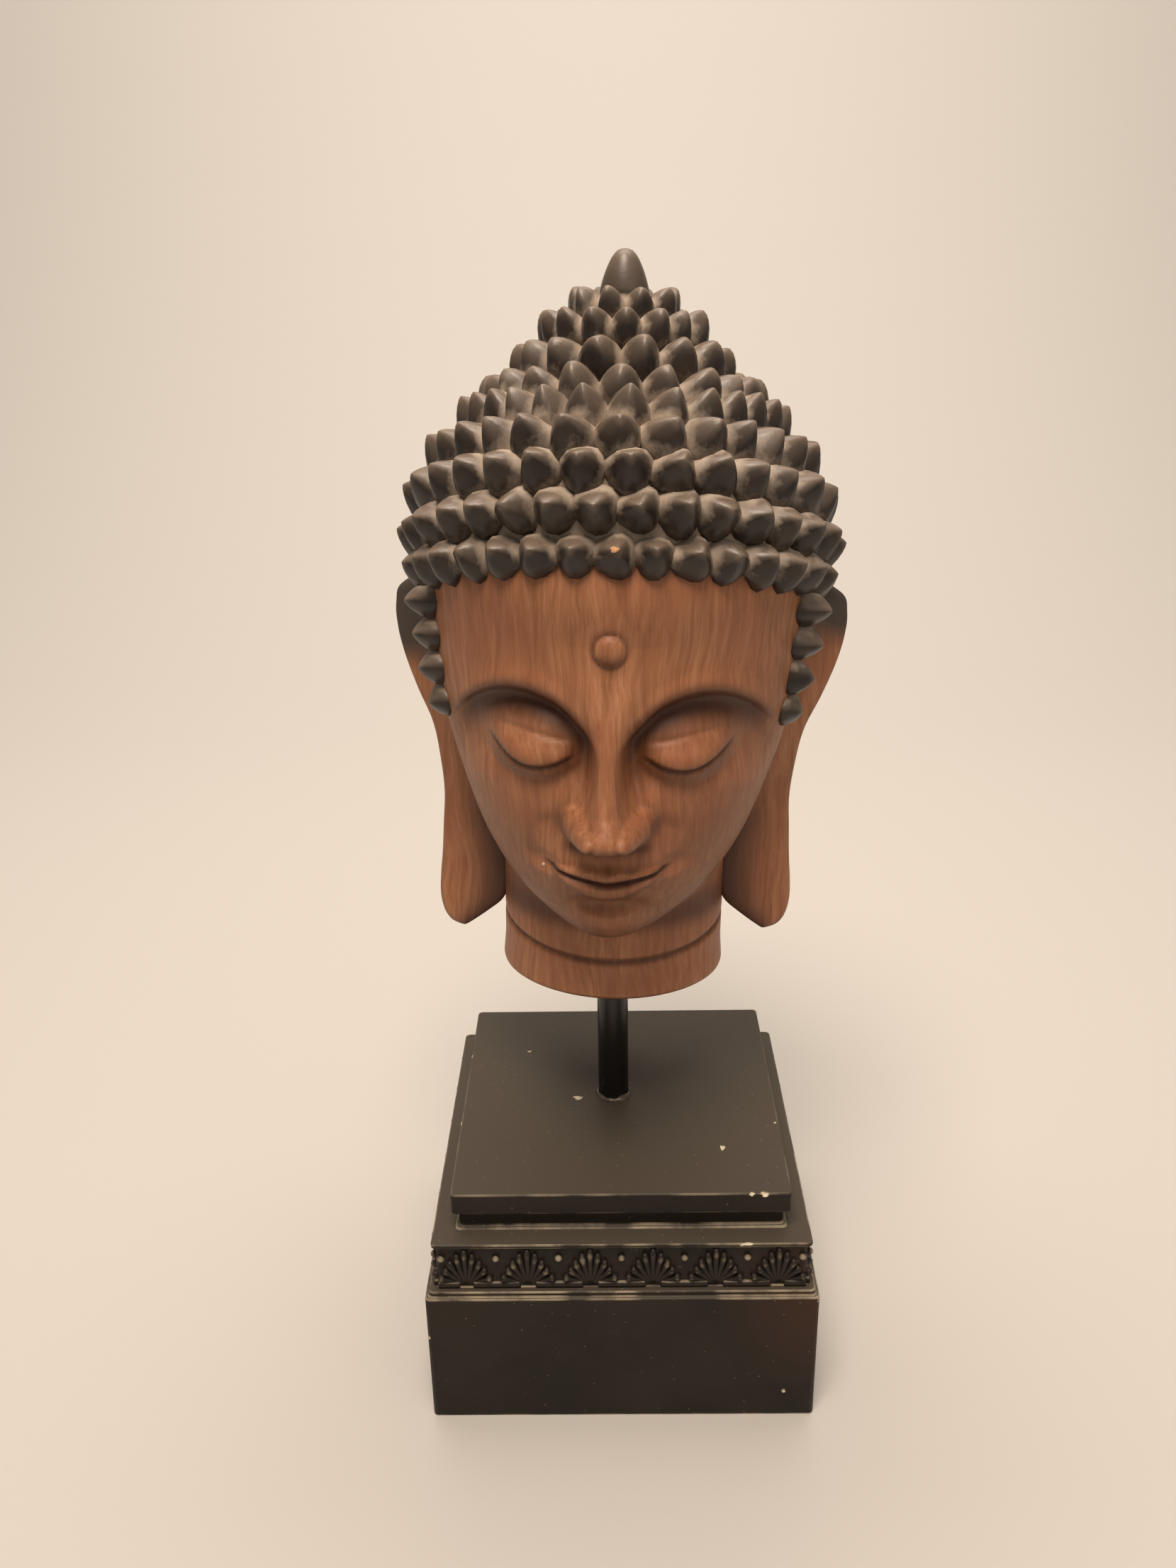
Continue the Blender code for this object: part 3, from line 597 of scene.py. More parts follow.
# Rows of curls: height of the feet at the side, lift over the brow, count, turn of the first, length,
# width and lean in degrees.
curlSizes = {
    "rows": [(131.5, 19.5, 31, 1, 7.8, 12.2, 14), (141.0, 22.0, 29, -4.7, 8.9, 13.0, 12),
             (153.0, 19.4, 26, 4.7, 9.3, 13.4, 18), (164.2, 14.9, 24, 1.2, 10.0, 13.2, 28),
             (175.2, 8.6, 23, 4.7, 9.8, 12.0, 34), (180.6, 7.8, 17, 1.2, 9.8, 12.4, 42),
             (190.6, 4.8, 13, 14.1, 9.2, 12.2, 50), (200.4, 2.2, 13, 4.7, 8.6, 9.9, 56),
             (207.3, 0.9, 8, 25.8, 7.6, 9.0, 62)],
    "frontCloser": 0.15,
    "backWider": 0.34,
    "bluntFromRow": 5,
    "napeRows": 5,
    "napePitch": 13.0,
    "napeCurl": (9.4, 15.6, 4),
    "napeSpacing": 13.4,
    "sideburnCurls": [(128.5, 8.4, 11.6), (118.3, 7.2, 11.6), (108.0, 6.6, 11.4), (97.4, 5.2, 10.8)],
    "sideburnAngle": 1.2,
    "seedShares": (-0.35, 0.12, 0.4, 0.66, 0.84, 0.95),
    "pointedPower": 0.76,
    "bluntPower": 0.6,
    "sizeSpread": 0.05,
    "tiltSpread": 3.5,
    "rollSpread": 34.0,
    "seed": 4,
}


def browHeight(x):
    return through([(0, 96), (8, 104.5), (13, 109.6), (19, 112.6), (26, 113.6), (33, 112), (40, 107.5),
                    (46, 101), (52, 94)], x)


def lashHeight(x):
    return through([(8, 94.6), (10, 93.6), (15, 91.4), (21, 90.4), (27, 91.4), (32, 94), (36, 96.8)], x)


def mouthHeight(x):
    return 57.0 + 1.9 * (x / 16) ** 2 - 0.5 * ridge(x, 3)


def eyeRelief(x, z):
    belowBrow = browHeight(x) - z
    socket = ramp(0, 5, belowBrow) * (1 - ramp(12, 30, belowBrow)) * ramp(52, 40, x) * ramp(1, 7, x)
    relief = -5.2 * socket + 0.9 * ridge(belowBrow + 1.6, 2.6) * ramp(50, 38, x) * ramp(2, 10, x)
    overLash = z - lashHeight(x)
    lidSpan = ramp(8.5, 13, x) * ramp(35.5, 31.5, x)
    relief += mound(x, z, (22, 96.5), (16.5, 11.5), 6.6, 1.15)
    relief += 1.2 * ramp(-0.45, 0.45, overLash) * ramp(9, 2, overLash) * lidSpan
    relief -= 0.9 * ridge(overLash + 0.55, 0.65) * lidSpan
    crease = through([(8, 95.6), (15, 96.6), (21, 97.6), (27, 98), (36, 97.6)], x)
    relief -= 0.7 * ridge(z - crease - 2.2, 0.7) * ramp(9, 13, x) * ramp(36, 31, x)
    return relief


def noseRelief(x, z):
    bridge = through([(60, 0), (66, 5.4), (70, 11.6), (74, 13.6), (78, 13.2), (86, 10.9), (94, 8.4),
                      (102, 5.8), (110, 3), (118, 0.8), (126, 0)], z)
    halfWidth = through([(66, 7), (72, 7.2), (78, 6), (86, 4.6), (94, 4), (102, 4.6), (110, 7.5),
                         (120, 13)], z)
    aboveNostrils = ramp(67.2, 71.5, z)
    relief = bridge * ramp(halfWidth * 1.65, halfWidth * 0.42, x) * aboveNostrils
    relief += mound(x, z, (0, 74.5), (7.5, 6.5), 2.6) * aboveNostrils
    relief += mound(x, z, (8.6, 73.6), (5.2, 5.6), 6.4, 1.0) * ramp(67.6, 70.4, z)
    return relief


def mouthRelief(x, z):
    mouth = mouthHeight(x)
    upper = through([(0, 4), (3.2, 4.9), (8, 3.6), (13, 1.8), (20, 0.3)], x)
    lower = through([(0, 6.8), (5, 6.4), (10, 4.6), (14, 2), (20, 0.3)], x)
    lipSpan = ramp(17, 13.5, x)
    relief = mound(x, z, (0, 59), (27, 19), 4.2)
    relief += 2.3 * lipSpan * ramp(upper * 1.15, upper * 0.7, z - mouth) * (z >= mouth)
    relief += 2.9 * lipSpan * ramp(lower * 1.2, lower * 0.6, mouth - z) * (z < mouth)
    relief -= 2.0 * ridge(z - mouth, 0.75) * ramp(18.5, 15, x)
    relief -= mound(x, z, (18.2, 59.2), (5, 4.4), 1.1)
    relief += 0.7 * ridge(x - 2.9, 1.3) * ramp(58.5, 62, z) * ramp(70, 66, z)
    relief -= 0.8 * ridge(x, 1.5) * ramp(59, 62, z) * ramp(70, 67, z)
    return relief


def faceRelief(x, z):  # how far the carving stands forward of the plain head
    x = np.abs(x)
    relief = eyeRelief(x, z) + noseRelief(x, z) + mouthRelief(x, z)
    relief -= mound(x, z, (0, 47.2), (13, 4.6), 1.8)
    relief += mound(x, z, (0, 38.5), (15, 9.5), 3.4)
    relief += mound(x, z, (31, 78), (19, 20), 1.8)
    fromNose = x - (14.5 + (74 - z) * 0.42)
    relief -= 1.0 * ridge(fromNose, 4.2) * ramp(54, 62, z) * ramp(78, 71, z)
    boss = np.hypot(x, z - 125.5) / 4.3
    relief += 2.3 * np.sqrt(np.clip(1 - boss**2, 0, 1)) - 0.35 * ridge(boss - 1.08, 0.12)
    return relief


def hairline(angle):  # lower edge of the charcoal paint around the head
    return through([(0, 148.5), (0.35, 147.5), (0.7, 143), (0.98, 138.5), (1.1, 135.5), (1.2, 131),
                    (1.3, 126), (1.6, 124), (1.72, 104), (1.85, 78), (2.2, 60), (3.15, 57)], np.abs(angle))


def neckFold(angle):  # height of the crease across the neck, an even curve rising to both sides
    return headSizes["foldHeight"] + headSizes["foldRise"] * (angle / 1.5) ** 2


def headPoint(angle, z):
    side = through(headSizes["scalp"], z)
    scalp = oval(angle, side, through(headSizes["scalpFront"], z), headSizes["scalpBack"] * side)
    scalp = scalp * ramp(30, 36, z)
    cheeks = oval(angle, through(headSizes["cheeks"], z), through(headSizes["front"], z), 34.0)
    cheeks = cheeks * ramp(27, 28.5, z) * ramp(168, 158, z)
    neck = oval(angle, *headSizes["neckReach"]) * ramp(78, 56, z) * (1 + 0.02 * ramp(12, 0, z))
    reach = blendOut(blendOut(neck, cheeks, 4), scalp, 5)
    fold = ridge(z - neckFold(angle), 0.9) * ramp(1.9, 1.3, np.abs(angle))
    reach = reach - headSizes["foldDepth"] * fold
    reach = reach - 2.6 * ramp(2.6, 0, z) ** 2
    x = reach * np.sin(angle)
    y = headSizes["axisBack"] - reach * np.cos(angle)
    return x, y - faceRelief(x, z) * ramp(2, -22, y) * ramp(152, 145, z), z


def evenPlaces(fine, weights, count):  # places along a line, closer together where the weight is larger
    travel = np.concatenate([[0], np.cumsum((weights[1:] + weights[:-1]) / 2 * np.diff(fine))])
    return np.interp(np.linspace(0, travel[-1], count), travel, fine)


def slopeWeight(points, along):  # length of the carved line for each step
    steps = [np.gradient(part, along) for part in points]
    return np.sqrt(sum(step**2 for step in steps))


def headGrid():
    top = headSizes["scalp"][-1][0]
    fine = np.linspace(0, 152, 2200)
    weight = sum(slopeWeight(headPoint(np.full_like(fine, angle), fine), fine)
                 for angle in (0, 0.17, 0.42, 1.0))
    low = evenPlaces(fine, weight, headSizes["rings"] - headSizes["scalpRings"])
    high = np.linspace(152, top, headSizes["scalpRings"] + 1)[1:]
    heights = np.concatenate([low, high])
    turn = np.linspace(-math.pi, math.pi, 2401)
    weight = 18 + 34 * ramp(1.5, 1.0, np.abs(turn))
    for level in (57, 73, 92, 97):
        weight = weight + 0.55 * slopeWeight(headPoint(turn, np.full_like(turn, level)), turn)
    angles = evenPlaces(turn, weight, headSizes["columns"] + 1)[:-1]
    return np.meshgrid(angles, heights)


def headPose():
    rodLow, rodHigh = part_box("rod")
    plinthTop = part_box("plinth")[1][2]
    middle = ((rodLow[0] + rodHigh[0]) / 2, (rodLow[1] + rodHigh[1]) / 2, plinthTop + headSizes["rodExposed"])
    lean = Matrix.Rotation(math.radians(headSizes["leanDegrees"]), 4, 'Y')
    turn = Matrix.Rotation(math.radians(headSizes["turnDegrees"]), 4, 'Z')
    scale = Matrix.Scale(headSizes["height"] / headSizes["units"], 4)
    return Matrix.Translation(middle) @ lean @ turn @ scale


def recessShade(x, z):  # where the face's carving is painted darker: partly the dark stain wash, partly painted shade in its hollows
    x = np.abs(x)
    belowBrow = browHeight(x) - z
    shade = 0.9 * ramp(-1.0, 2.5, belowBrow) * ramp(17, 5, belowBrow) * ramp(50, 40, x) * ramp(2, 7, x)
    overLash = z - lashHeight(x)
    shade = np.maximum(shade, 0.95 * ridge(overLash + 0.6, 1.0) * ramp(7, 12, x) * ramp(37, 33, x))
    shade = np.maximum(shade, 0.5 * ridge(overLash + 3.5, 4.0) * ramp(7, 12, x) * ramp(40, 30, x))
    shade = np.maximum(shade, 0.95 * ridge(z - mouthHeight(x), 1.0) * ramp(20, 16, x))
    shade = np.maximum(shade, 0.75 * ridge(z - 67, 2.2) * ramp(15, 10, x))
    shade = np.maximum(shade, 0.6 * ridge(x - 13.8, 2.0) * ridge(z - 73, 5))
    shade = np.maximum(shade, 0.4 * ridge(x - 7.5, 3.5) * ridge(z - 92, 11))
    shade = np.maximum(shade, 0.45 * ridge(z - 47.2, 3) * ramp(15, 8, x))
    boss = np.hypot(x, z - 125.5) / 4.3
    return np.maximum(shade, 0.55 * ridge(boss - 1.1, 0.14))


def buildHeadSkin(pose):
    gridAngle, gridHeight = headGrid()
    rings, columns = gridAngle.shape
    x, y, z = headPoint(gridAngle, gridHeight)
    points = np.stack([x, y, z], axis=-1).reshape(-1, 3)
    shade = recessShade(x, z) * (y < -8)
    # painted shade under the chin
    shade = np.maximum(shade, 0.7 * ramp(42, 30, z) * ramp(22, 29, z) * ramp(30, -20, y))
    # painted shade in the crease across the neck
    shade = np.maximum(shade, 0.75 * ridge(z - neckFold(gridAngle), 1.0) * ramp(1.9, 1.3, np.abs(gridAngle)))
    toHair = hairline(gridAngle) - z
    # painted shade on the skin just below the hairline, where the curls overhang
    shade = np.maximum(shade, 0.55 * ramp(5, -1, toHair))

    turned = np.linspace(0, math.tau, columns, endpoint=False) + gridAngle[0, 0]
    circle = np.stack([np.sin(turned), -np.cos(turned), np.zeros(columns)], axis=-1)
    circle = circle * headSizes["socketRadius"]
    socket = np.concatenate([circle + (0, 0, headSizes["socketDepth"]), circle + (0, 0, points[0, 2])])
    last = points[-columns:]
    middle = np.array([0, headSizes["axisBack"], last[:, 2].mean()])
    budRings = headSizes["budRings"]
    budReach = headSizes["budWidth"] / 2
    bud = []
    for ring in range(1, budRings):
        share = math.sin(ring / budRings * math.pi / 2)
        reach = budReach * float(through(headSizes["budProfile"], share))
        circle = middle + (last - middle) / np.linalg.norm(last - middle, axis=1)[:, None] * reach
        circle[:, 2] = middle[2] + (headSizes["units"] - middle[2]) * share
        bud.append(circle)
    whole = np.concatenate([socket, points] + bud + [[[0, headSizes["axisBack"], headSizes["units"] - 0.1]]])
    total = rings + budRings + 1
    faces = [tuple(reversed(range(columns)))] + ringFaces(total, columns)
    top = (total - 1) * columns
    for column in range(columns):
        faces.append((top + column, top + (column + 1) % columns, len(whole) - 1))
    mesh = meshFrom("head", whole, faces)
    before, after = len(socket), len(whole) - len(socket) - rings * columns
    # painted shade inside the socket for the rod: its points get 0.5
    storeNumber(mesh, "shade", np.concatenate([np.full(before, 0.5), shade.reshape(-1), np.zeros(after)]))
    storeNumber(mesh, "hair", np.zeros(len(whole)))
    isHair = np.concatenate([np.zeros(before), (toHair < 0).reshape(-1), np.ones(after)]) > 0.5
    # the bud's lift runs 0.5 to 1, so its top takes the paler tip colour: partly wear, partly a painted
    # highlight
    lift = np.concatenate([np.zeros(before + rings * columns), np.linspace(0.5, 1, after)])
    storeNumber(mesh, "lift", lift)
    inHair = (ramp(2, 7, -toHair) * (0.3 + 0.4 * ramp(1.9, 0.9, np.abs(gridAngle)))).reshape(-1)
    storeNumber(mesh, "dust", np.concatenate([np.zeros(before), inHair, np.zeros(after)]))
    mesh.materials.append(woodEffectResin)
    mesh.materials.append(charcoalResin)
    for face in mesh.polygons:
        face.material_index = int(all(isHair[vertex] for vertex in face.vertices))
    mesh.transform(pose)
    mesh.shade_smooth()
    return linkObject("head", mesh)


def curlPlaces():  # angle, height, length, width, lean and bluntness of every curl
    places = []
    for row, (side, lift, count, first, length, width, lean) in enumerate(curlSizes["rows"]):
        for step in range(count):
            turn = (math.radians(first) + math.tau * step / count + math.pi) % math.tau - math.pi
            angle = turn - curlSizes["frontCloser"] * math.sin(turn)
            height = side + lift * max(math.cos(angle), 0)
            wider = width * (1 + curlSizes["backWider"] * (1 - math.cos(angle)) / 2)
            places.append((angle, height, length, wider, lean, row >= curlSizes["bluntFromRow"]))
    length, width, lean = curlSizes["napeCurl"]
    for row in range(curlSizes["napeRows"]):
        height = curlSizes["rows"][0][0] + 1 - (row + 1) * curlSizes["napePitch"]
        spread = 1.46 - 0.05 * row
        reach = float(through(headSizes["scalp"], np.array(height)))
        count = round(2 * spread * reach / curlSizes["napeSpacing"])
        for step in range(count):
            angle = math.pi + spread * (2 * (step + 0.5) / count - 1)
            places.append(((angle + math.pi) % math.tau - math.pi, height, length, width, lean, False))
    for height, length, width in curlSizes["sideburnCurls"]:
        for side in (-1, 1):
            places.append((side * curlSizes["sideburnAngle"], height, length, width, 4, False))
    return places


def curlFrames():  # foot, side, up, axis, length, half width and bluntness of every curl, on the head's scale
    frames = []
    for angle, height, length, width, lean, blunt in curlPlaces():
        foot = np.array(headPoint(np.array(angle), np.array(float(height))), float)
        across = np.array(headPoint(np.array(angle + 0.02), np.array(float(height)))) - foot
        up = np.array(headPoint(np.array(angle), np.array(height + 1.0))) - foot
        out = Vector(np.cross(across, up)).normalized()
        axis = (out + Vector((0, 0, math.tan(math.radians(lean)) * (1 - abs(out.z))))).normalized()
        side = Vector((0, 0, 1)).cross(axis).normalized()
        frames.append((Vector(foot), side, axis.cross(side), axis, length, width * 0.515, blunt))
    return frames


def curlOutline(angle, share):  # rounded three-sided section, flat on top with a keel below
    facing = [math.radians(degrees) for degrees in (90, 210, 330)]
    support = sum(max(math.cos(angle - normal), 0) ** 5 for normal in facing) ** (-1 / 5)
    pull = 0.26 + 0.5 * share
    return 1 + pull * (support / 1.24 - 1)


def curlSeed(power):  # one plump three-edged bud, one unit wide and tall, with its foot below the scalp
    angles = [math.radians(edge + step) for edge in (30, 150, 270) for step in (-12, 12, 38, 82)]
    shares = curlSizes["seedShares"]
    sides = len(angles)
    points, lifts = [], []
    for share in shares:
        height = max(share, 0)
        reach = (1 - height**1.25) ** power
        for angle in angles:
            spread = reach * curlOutline(angle, height)
            points.append((spread * math.cos(angle), spread * math.sin(angle), share))
            lifts.append(height)
    points.append((0, 0, 1))
    lifts.append(1.0)
    faces = [tuple(reversed(range(sides)))] + ringFaces(len(shares), sides)
    top = (len(shares) - 1) * sides
    faces += [(top + side, top + (side + 1) % sides, len(points) - 1) for side in range(sides)]
    mesh = meshFrom("curl seed", points, faces)
    storeNumber(mesh, "lift", lifts)
    mesh.shade_smooth()
    return mesh


def valleyDust(thing, pose, frames, owners):  # pale dust where a curl comes close to its neighbours
    mesh = thing.data
    inward = np.array(pose.inverted())
    points = meshPoints(mesh) @ inward[:3, :3].T + inward[:3, 3]
    feet, axes = (np.array([frame[place] for frame in frames]) for place in (0, 3))
    lengths, halves = (np.array([frame[place] for frame in frames]) for place in (4, 5))
    powers = np.where([frame[6] for frame in frames], curlSizes["bluntPower"], curlSizes["pointedPower"])
    closest = np.full(len(points), 99.0)
    for start in range(0, len(points), 3000):
        away = points[start:start + 3000, None, :] - feet[None]
        along = (away * axes[None]).sum(axis=2)
        across = np.linalg.norm(away - along[:, :, None] * axes[None], axis=2)
        share = along / lengths
        gap = across - halves * (1 - np.clip(share, 0, 1) ** 1.25) ** powers
        gap[(share > 1) | (share < -0.6)] = 99.0
        rows = np.arange(gap.shape[0])
        gap[rows, owners[start:start + 3000]] = 99.0
        closest[start:start + 3000] = gap.min(axis=1)
    facing = np.array([vertex.normal[2] for vertex in mesh.vertices])
    dust = ramp(3.2, 0.2, closest) * (0.25 + 0.75 * ramp(-0.4, 0.4, facing))
    storeNumber(mesh, "dust", dust)


def buildCurls(pose):
    frames = curlFrames()
    scale = pose.to_scale()[0]
    chance = np.random.default_rng(curlSizes["seed"])
    rolls = chance.uniform(-curlSizes["rollSpread"], curlSizes["rollSpread"], len(frames))
    made = []
    for blunt in (False, True):
        chosen = [number for number, frame in enumerate(frames) if frame[6] == blunt]
        spots, turns, sizes = [], [], []
        for number in chosen:
            foot, side, up, axis, length, half, _ = frames[number]
            basis = Matrix((side, up, axis)).transposed().to_4x4()
            basis = basis @ Matrix.Rotation(math.radians(rolls[number]), 4, 'Z')
            spots.append(pose @ foot)
            turns.append((pose.to_quaternion() @ basis.to_quaternion()).to_euler()[:])
            sizes.append((half * scale, half * scale, length * scale))
        seed = curlSeed(curlSizes["bluntPower"] if blunt else curlSizes["pointedPower"])
        perCurl = len(seed.vertices)
        curls = scatter("curls", spots, turns, sizes, seed, charcoalResin, curlSizes["sizeSpread"],
                        curlSizes["tiltSpread"], curlSizes["seed"])
        valleyDust(curls, pose, frames, np.repeat(chosen, perCurl))
        made.append(curls)
    return made


# The ears: heights of their ends, one lobe hanging lower, then edges, set-back and thickness by height.
earSizes = {
    "levels": 80,
    "corners": 32,
    "bottoms": {-1: 11.0, 1: 14.0},
    "top": 129.5,
    "charcoalFrom": {-1: 95.0, 1: 107.0},
    "front": [(11, 50), (13, 47.5), (15, 45), (18.3, 41), (21.5, 37.4), (26, 35), (36, 34), (56, 39.5),
              (70, 42.5), (84, 46), (110, 50), (129, 53)],
    "rear": [(11, 52), (12, 54.2), (14, 56.3), (17, 57.7), (21, 58.5), (28, 58.4), (36, 57.6), (48, 56.7),
             (58, 56), (70, 57), (82, 59.3), (93, 64.2), (104, 68.3), (112, 70.15), (120, 70.35), (126, 68.3),
             (129, 64)],
    "setBack": [(11, 4), (30, 6), (60, 6), (84, 8), (104, 11), (118, 12), (129, 11)],
    "thick": [(11, 3.6), (30, 4.4), (60, 3.4), (90, 2.8), (129, 2.6)],
    "hollow": [(11, 0.3), (40, 0.6), (70, 1.0), (90, 2.0), (118, 2.4), (129, 1)],
}


def buildEar(side, pose):  # a flat shell with a rolled rim, from behind the jaw out to its free edge
    levels, corners = earSizes["levels"], earSizes["corners"]
    share = np.linspace(0, 1, levels)
    spread = 0.5 - 0.5 * np.cos(share * math.pi)
    table = 11.5 + (earSizes["top"] - 11.5) * spread
    height = earSizes["bottoms"][side] + (earSizes["top"] - earSizes["bottoms"][side]) * spread
    front, rear, depth, thick, hollow = (through(earSizes[name], table)
                                         for name in ("front", "rear", "setBack", "thick", "hollow"))
    close = np.sqrt(np.clip(1 - np.abs(2 * share - 1) ** 5, 0.02, 1))
    angle = np.linspace(0, math.tau, corners, endpoint=False)
    points = []
    for level in range(levels):
        start = np.array([front[level], 1.0 - 5.0 * share[level]])
        end = np.array([rear[level], depth[level]])
        along = (end - start) / 2
        across = np.array([along[1], -along[0]]) / np.linalg.norm(along)
        for corner in angle:
            flat = (start + end) / 2 + along * math.cos(corner)
            flat = flat + across * close[level] * (thick[level] - 0.9) * math.sin(corner)
            flat = flat + across * (0.9 - hollow[level] * math.sin(corner) ** 2)
            points.append(pose @ Vector((side * flat[0], flat[1], height[level])))
    mesh = tubeMesh("ear", points, levels, corners)
    mesh.shade_smooth()
    charcoalFrom = earSizes["charcoalFrom"][side]
    storeNumber(mesh, "hair", np.repeat(0.92 * ramp(charcoalFrom - 6, charcoalFrom + 22, height), corners))
    # painted shade on the ear's inner face towards the jaw, stronger lower down
    inner = np.tile(ramp(0.5, -0.9, np.cos(angle)), levels)
    storeNumber(mesh, "shade", inner * np.repeat(0.3 + 0.6 * ramp(70, 50, height), corners))
    mesh.materials.append(woodEffectResin)
    return linkObject("ear", mesh)


def buildHeadChips(pose):  # a flake off one curl shows orange resin, a nick by the mouth shows filler
    made = []
    foot, side, up, axis, length, *_ = curlFrames()[0]
    tip = foot + axis * (length - 0.35)
    corner = Vector(headPoint(np.array(-0.36), np.array(57.6)))
    nick = corner + Vector((0, -0.1, 0))
    for name, middle, right, over, radius, finish in (
            ("curl flake", tip, side, up, 1.15, orangeResin),
            ("mouth nick", nick, Vector((1, 0.3, 0)), Vector((0, -0.1, 1)), 0.6, creamFiller)):
        out = right.cross(over).normalized()
        points = []
        for reach, rise in ((0.75, -0.5), (1.0, 0.12), (0.62, 0.34)):
            for step in range(11):
                angle = math.tau * step / 11
                uneven = 1 + 0.16 * math.sin(3 * angle + 1) + 0.1 * math.sin(5 * angle)
                spot = right * math.cos(angle) + over * math.sin(angle) * 0.7
                points.append(pose @ (middle + spot * radius * reach * uneven + out * rise * radius))
        mesh = tubeMesh(name, points, 3, 11)
        mesh.materials.append(finish)
        made.append(linkObject(name, mesh))
    return made


pose = headPose()
head = buildHeadSkin(pose)
joinInto(head, [buildEar(side, pose) for side in (-1, 1)] + buildCurls(pose) + buildHeadChips(pose))
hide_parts("head")
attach(head, "root")
print("head carved:", len(head.data.polygons), "faces")

# The rod, with dried glue round its foot: millimetres.
rodSizes = {
    "diameter": 10.6,
    "sides": 48,
    "endRounding": 0.8,
    "glueInner": 5.35,
    "glueRings": [(5.35, -0.5), (5.35, 0.75), (5.75, 0.5), (6.3, 0.08), (6.2, -0.4)],
    "glueSides": 40,
}


def buildRod():
    low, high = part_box("rod")
    middle = (low[0] + high[0]) / 2, (low[1] + high[1]) / 2
    radius = rodSizes["diameter"] / 2000
    sides = rodSizes["sides"]
    points = []
    cut = rodSizes["endRounding"] / 1000
    for reach, height in ((radius - cut, low[2]), (radius, low[2] + cut), (radius, high[2] - cut),
                          (radius - cut, high[2])):
        for side in range(sides):
            angle = math.tau * side / sides
            points.append((middle[0] + reach * math.cos(angle), middle[1] + reach * math.sin(angle), height))
    mesh = tubeMesh("rod", points, 4, sides)
    mesh.shade_smooth()
    mesh.set_sharp_from_angle(angle=math.radians(40))
    mesh.materials.append(blackEnamel)
    return linkObject("rod", mesh), middle


def buildGlue(middle, top):  # a thin uneven skirt of glue where the rod meets the slab
    sides, inner = rodSizes["glueSides"], rodSizes["glueInner"]
    points = []
    for reach, height in rodSizes["glueRings"]:
        for side in range(sides):
            angle = math.tau * side / sides
            lump = 0.5 + 0.5 * math.sin(3 * angle + 2.2) * math.sin(7 * angle) + 0.8 * ridge(
                (angle - 5.4 + math.pi) % math.tau - math.pi, 0.35)
            out = inner + (reach - inner) * (0.7 + 0.9 * lump)
            rise = height * (0.5 + lump) if height > 0 else height
            points.append((middle[0] + out / 1000 * math.cos(angle), middle[1] + out / 1000 * math.sin(angle),
                           top + rise / 1000))
    mesh = tubeMesh("glue skirt", points, len(rodSizes["glueRings"]), sides)
    mesh.shade_smooth()
    mesh.materials.append(clearGlue)
    return linkObject("glue skirt", mesh)


rod, rodMiddle = buildRod()
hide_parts("rod")
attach(rod, "root")
print("rod turned")

# The plinth: millimetres.
plinthSizes = {
    "block": (127.0, 49.8),
    "ledge": (1.2, 1.9),
    "band": (121.7, 19.6),
    "bandRecess": 1.2,
    "shelf": 1.6,
    "waist": (2.2, 6.9),
    "slab": (109.0, 7.5),
    "cornerRadius": 1.6,
    "cornerSteps": 5,
    "edgeRounding": 0.55,
    "palmettes": 6,
    "palmetteHeight": 15.6,
    "lobeTips": [(0, 15.4), (2.6, 13.6), (4.9, 10.9), (6.6, 7.9), (8.6, 4.6)],
    "lobeRings": 8,
    "lobeSides": 8,
    "lobeRise": 3.1,
    "lobeWidth": 1.5,
    "pearl": 2.5,
    "pearlDrop": 5.7,
    "stripHeight": 3.0,
    "stripSpan": 15.6,
    "boreRadius": 5.6,
    "boreDepth": 30.0,
    "boreSides": 48,
    "chips": [((-14.5, -2.8, 83.8), (1.9, 1.2, 0.5)), ((-33.0, 26.6, 83.8), (0.8, 0.7, 0.4)),
              ((-54.6, 23.6, 83.6), (0.7, 1.1, 0.7)), ((34.3, -31.4, 83.8), (0.8, 1.4, 0.4)),
              ((53.2, -18.1, 83.8), (0.5, 0.5, 0.4)), ((-54.5, -17.1, 83.4), (0.5, 1.4, 0.5)),
              ((41.5, -54.4, 83.6), (0.9, 0.7, 0.7)), ((45.6, -54.4, 83.5), (1.4, 0.9, 0.9)),
              ((39.3, -60.8, 69.3), (2.2, 0.6, 0.6)), ((-63.4, -63.4, 33.7), (0.8, 0.7, 1.1)),
              ((63.4, -63.4, 48.6), (1.0, 0.7, 1.0)), ((53.2, -63.5, 10.3), (0.7, 0.5, 0.8)),
              ((-60.8, -60.8, 69.2), (0.9, 0.7, 0.7))],
    "seed": 7,
}


def plinthProfile():  # half sides and heights of the square steps, from the underside up
    blockSide, blockHeight = plinthSizes["block"]
    ledgeIn, ledgeUp = plinthSizes["ledge"]
    bandSide, bandHeight = plinthSizes["band"]
    waistIn, waistUp = plinthSizes["waist"]
    slabSide, slabUp = plinthSizes["slab"]
    half, shelf = blockSide / 2, blockHeight + bandHeight
    panel = bandSide / 2 - plinthSizes["bandRecess"]
    waistHalf = slabSide / 2 - waistIn
    under = shelf - plinthSizes["shelf"]
    ledge = blockHeight + ledgeUp
    return [(half, 0), (half, blockHeight), (half - ledgeIn, blockHeight), (half - ledgeIn, ledge),
            (half - 2 * ledgeIn, ledge), (panel, ledge),
            (panel, under), (bandSide / 2, under), (bandSide / 2, shelf), (waistHalf + 0.8, shelf),
            (waistHalf + 0.5, shelf + 0.6), (waistHalf, shelf + 0.9), (waistHalf, shelf + waistUp),
            (slabSide / 2, shelf + waistUp), (slabSide / 2, shelf + waistUp + slabUp)]


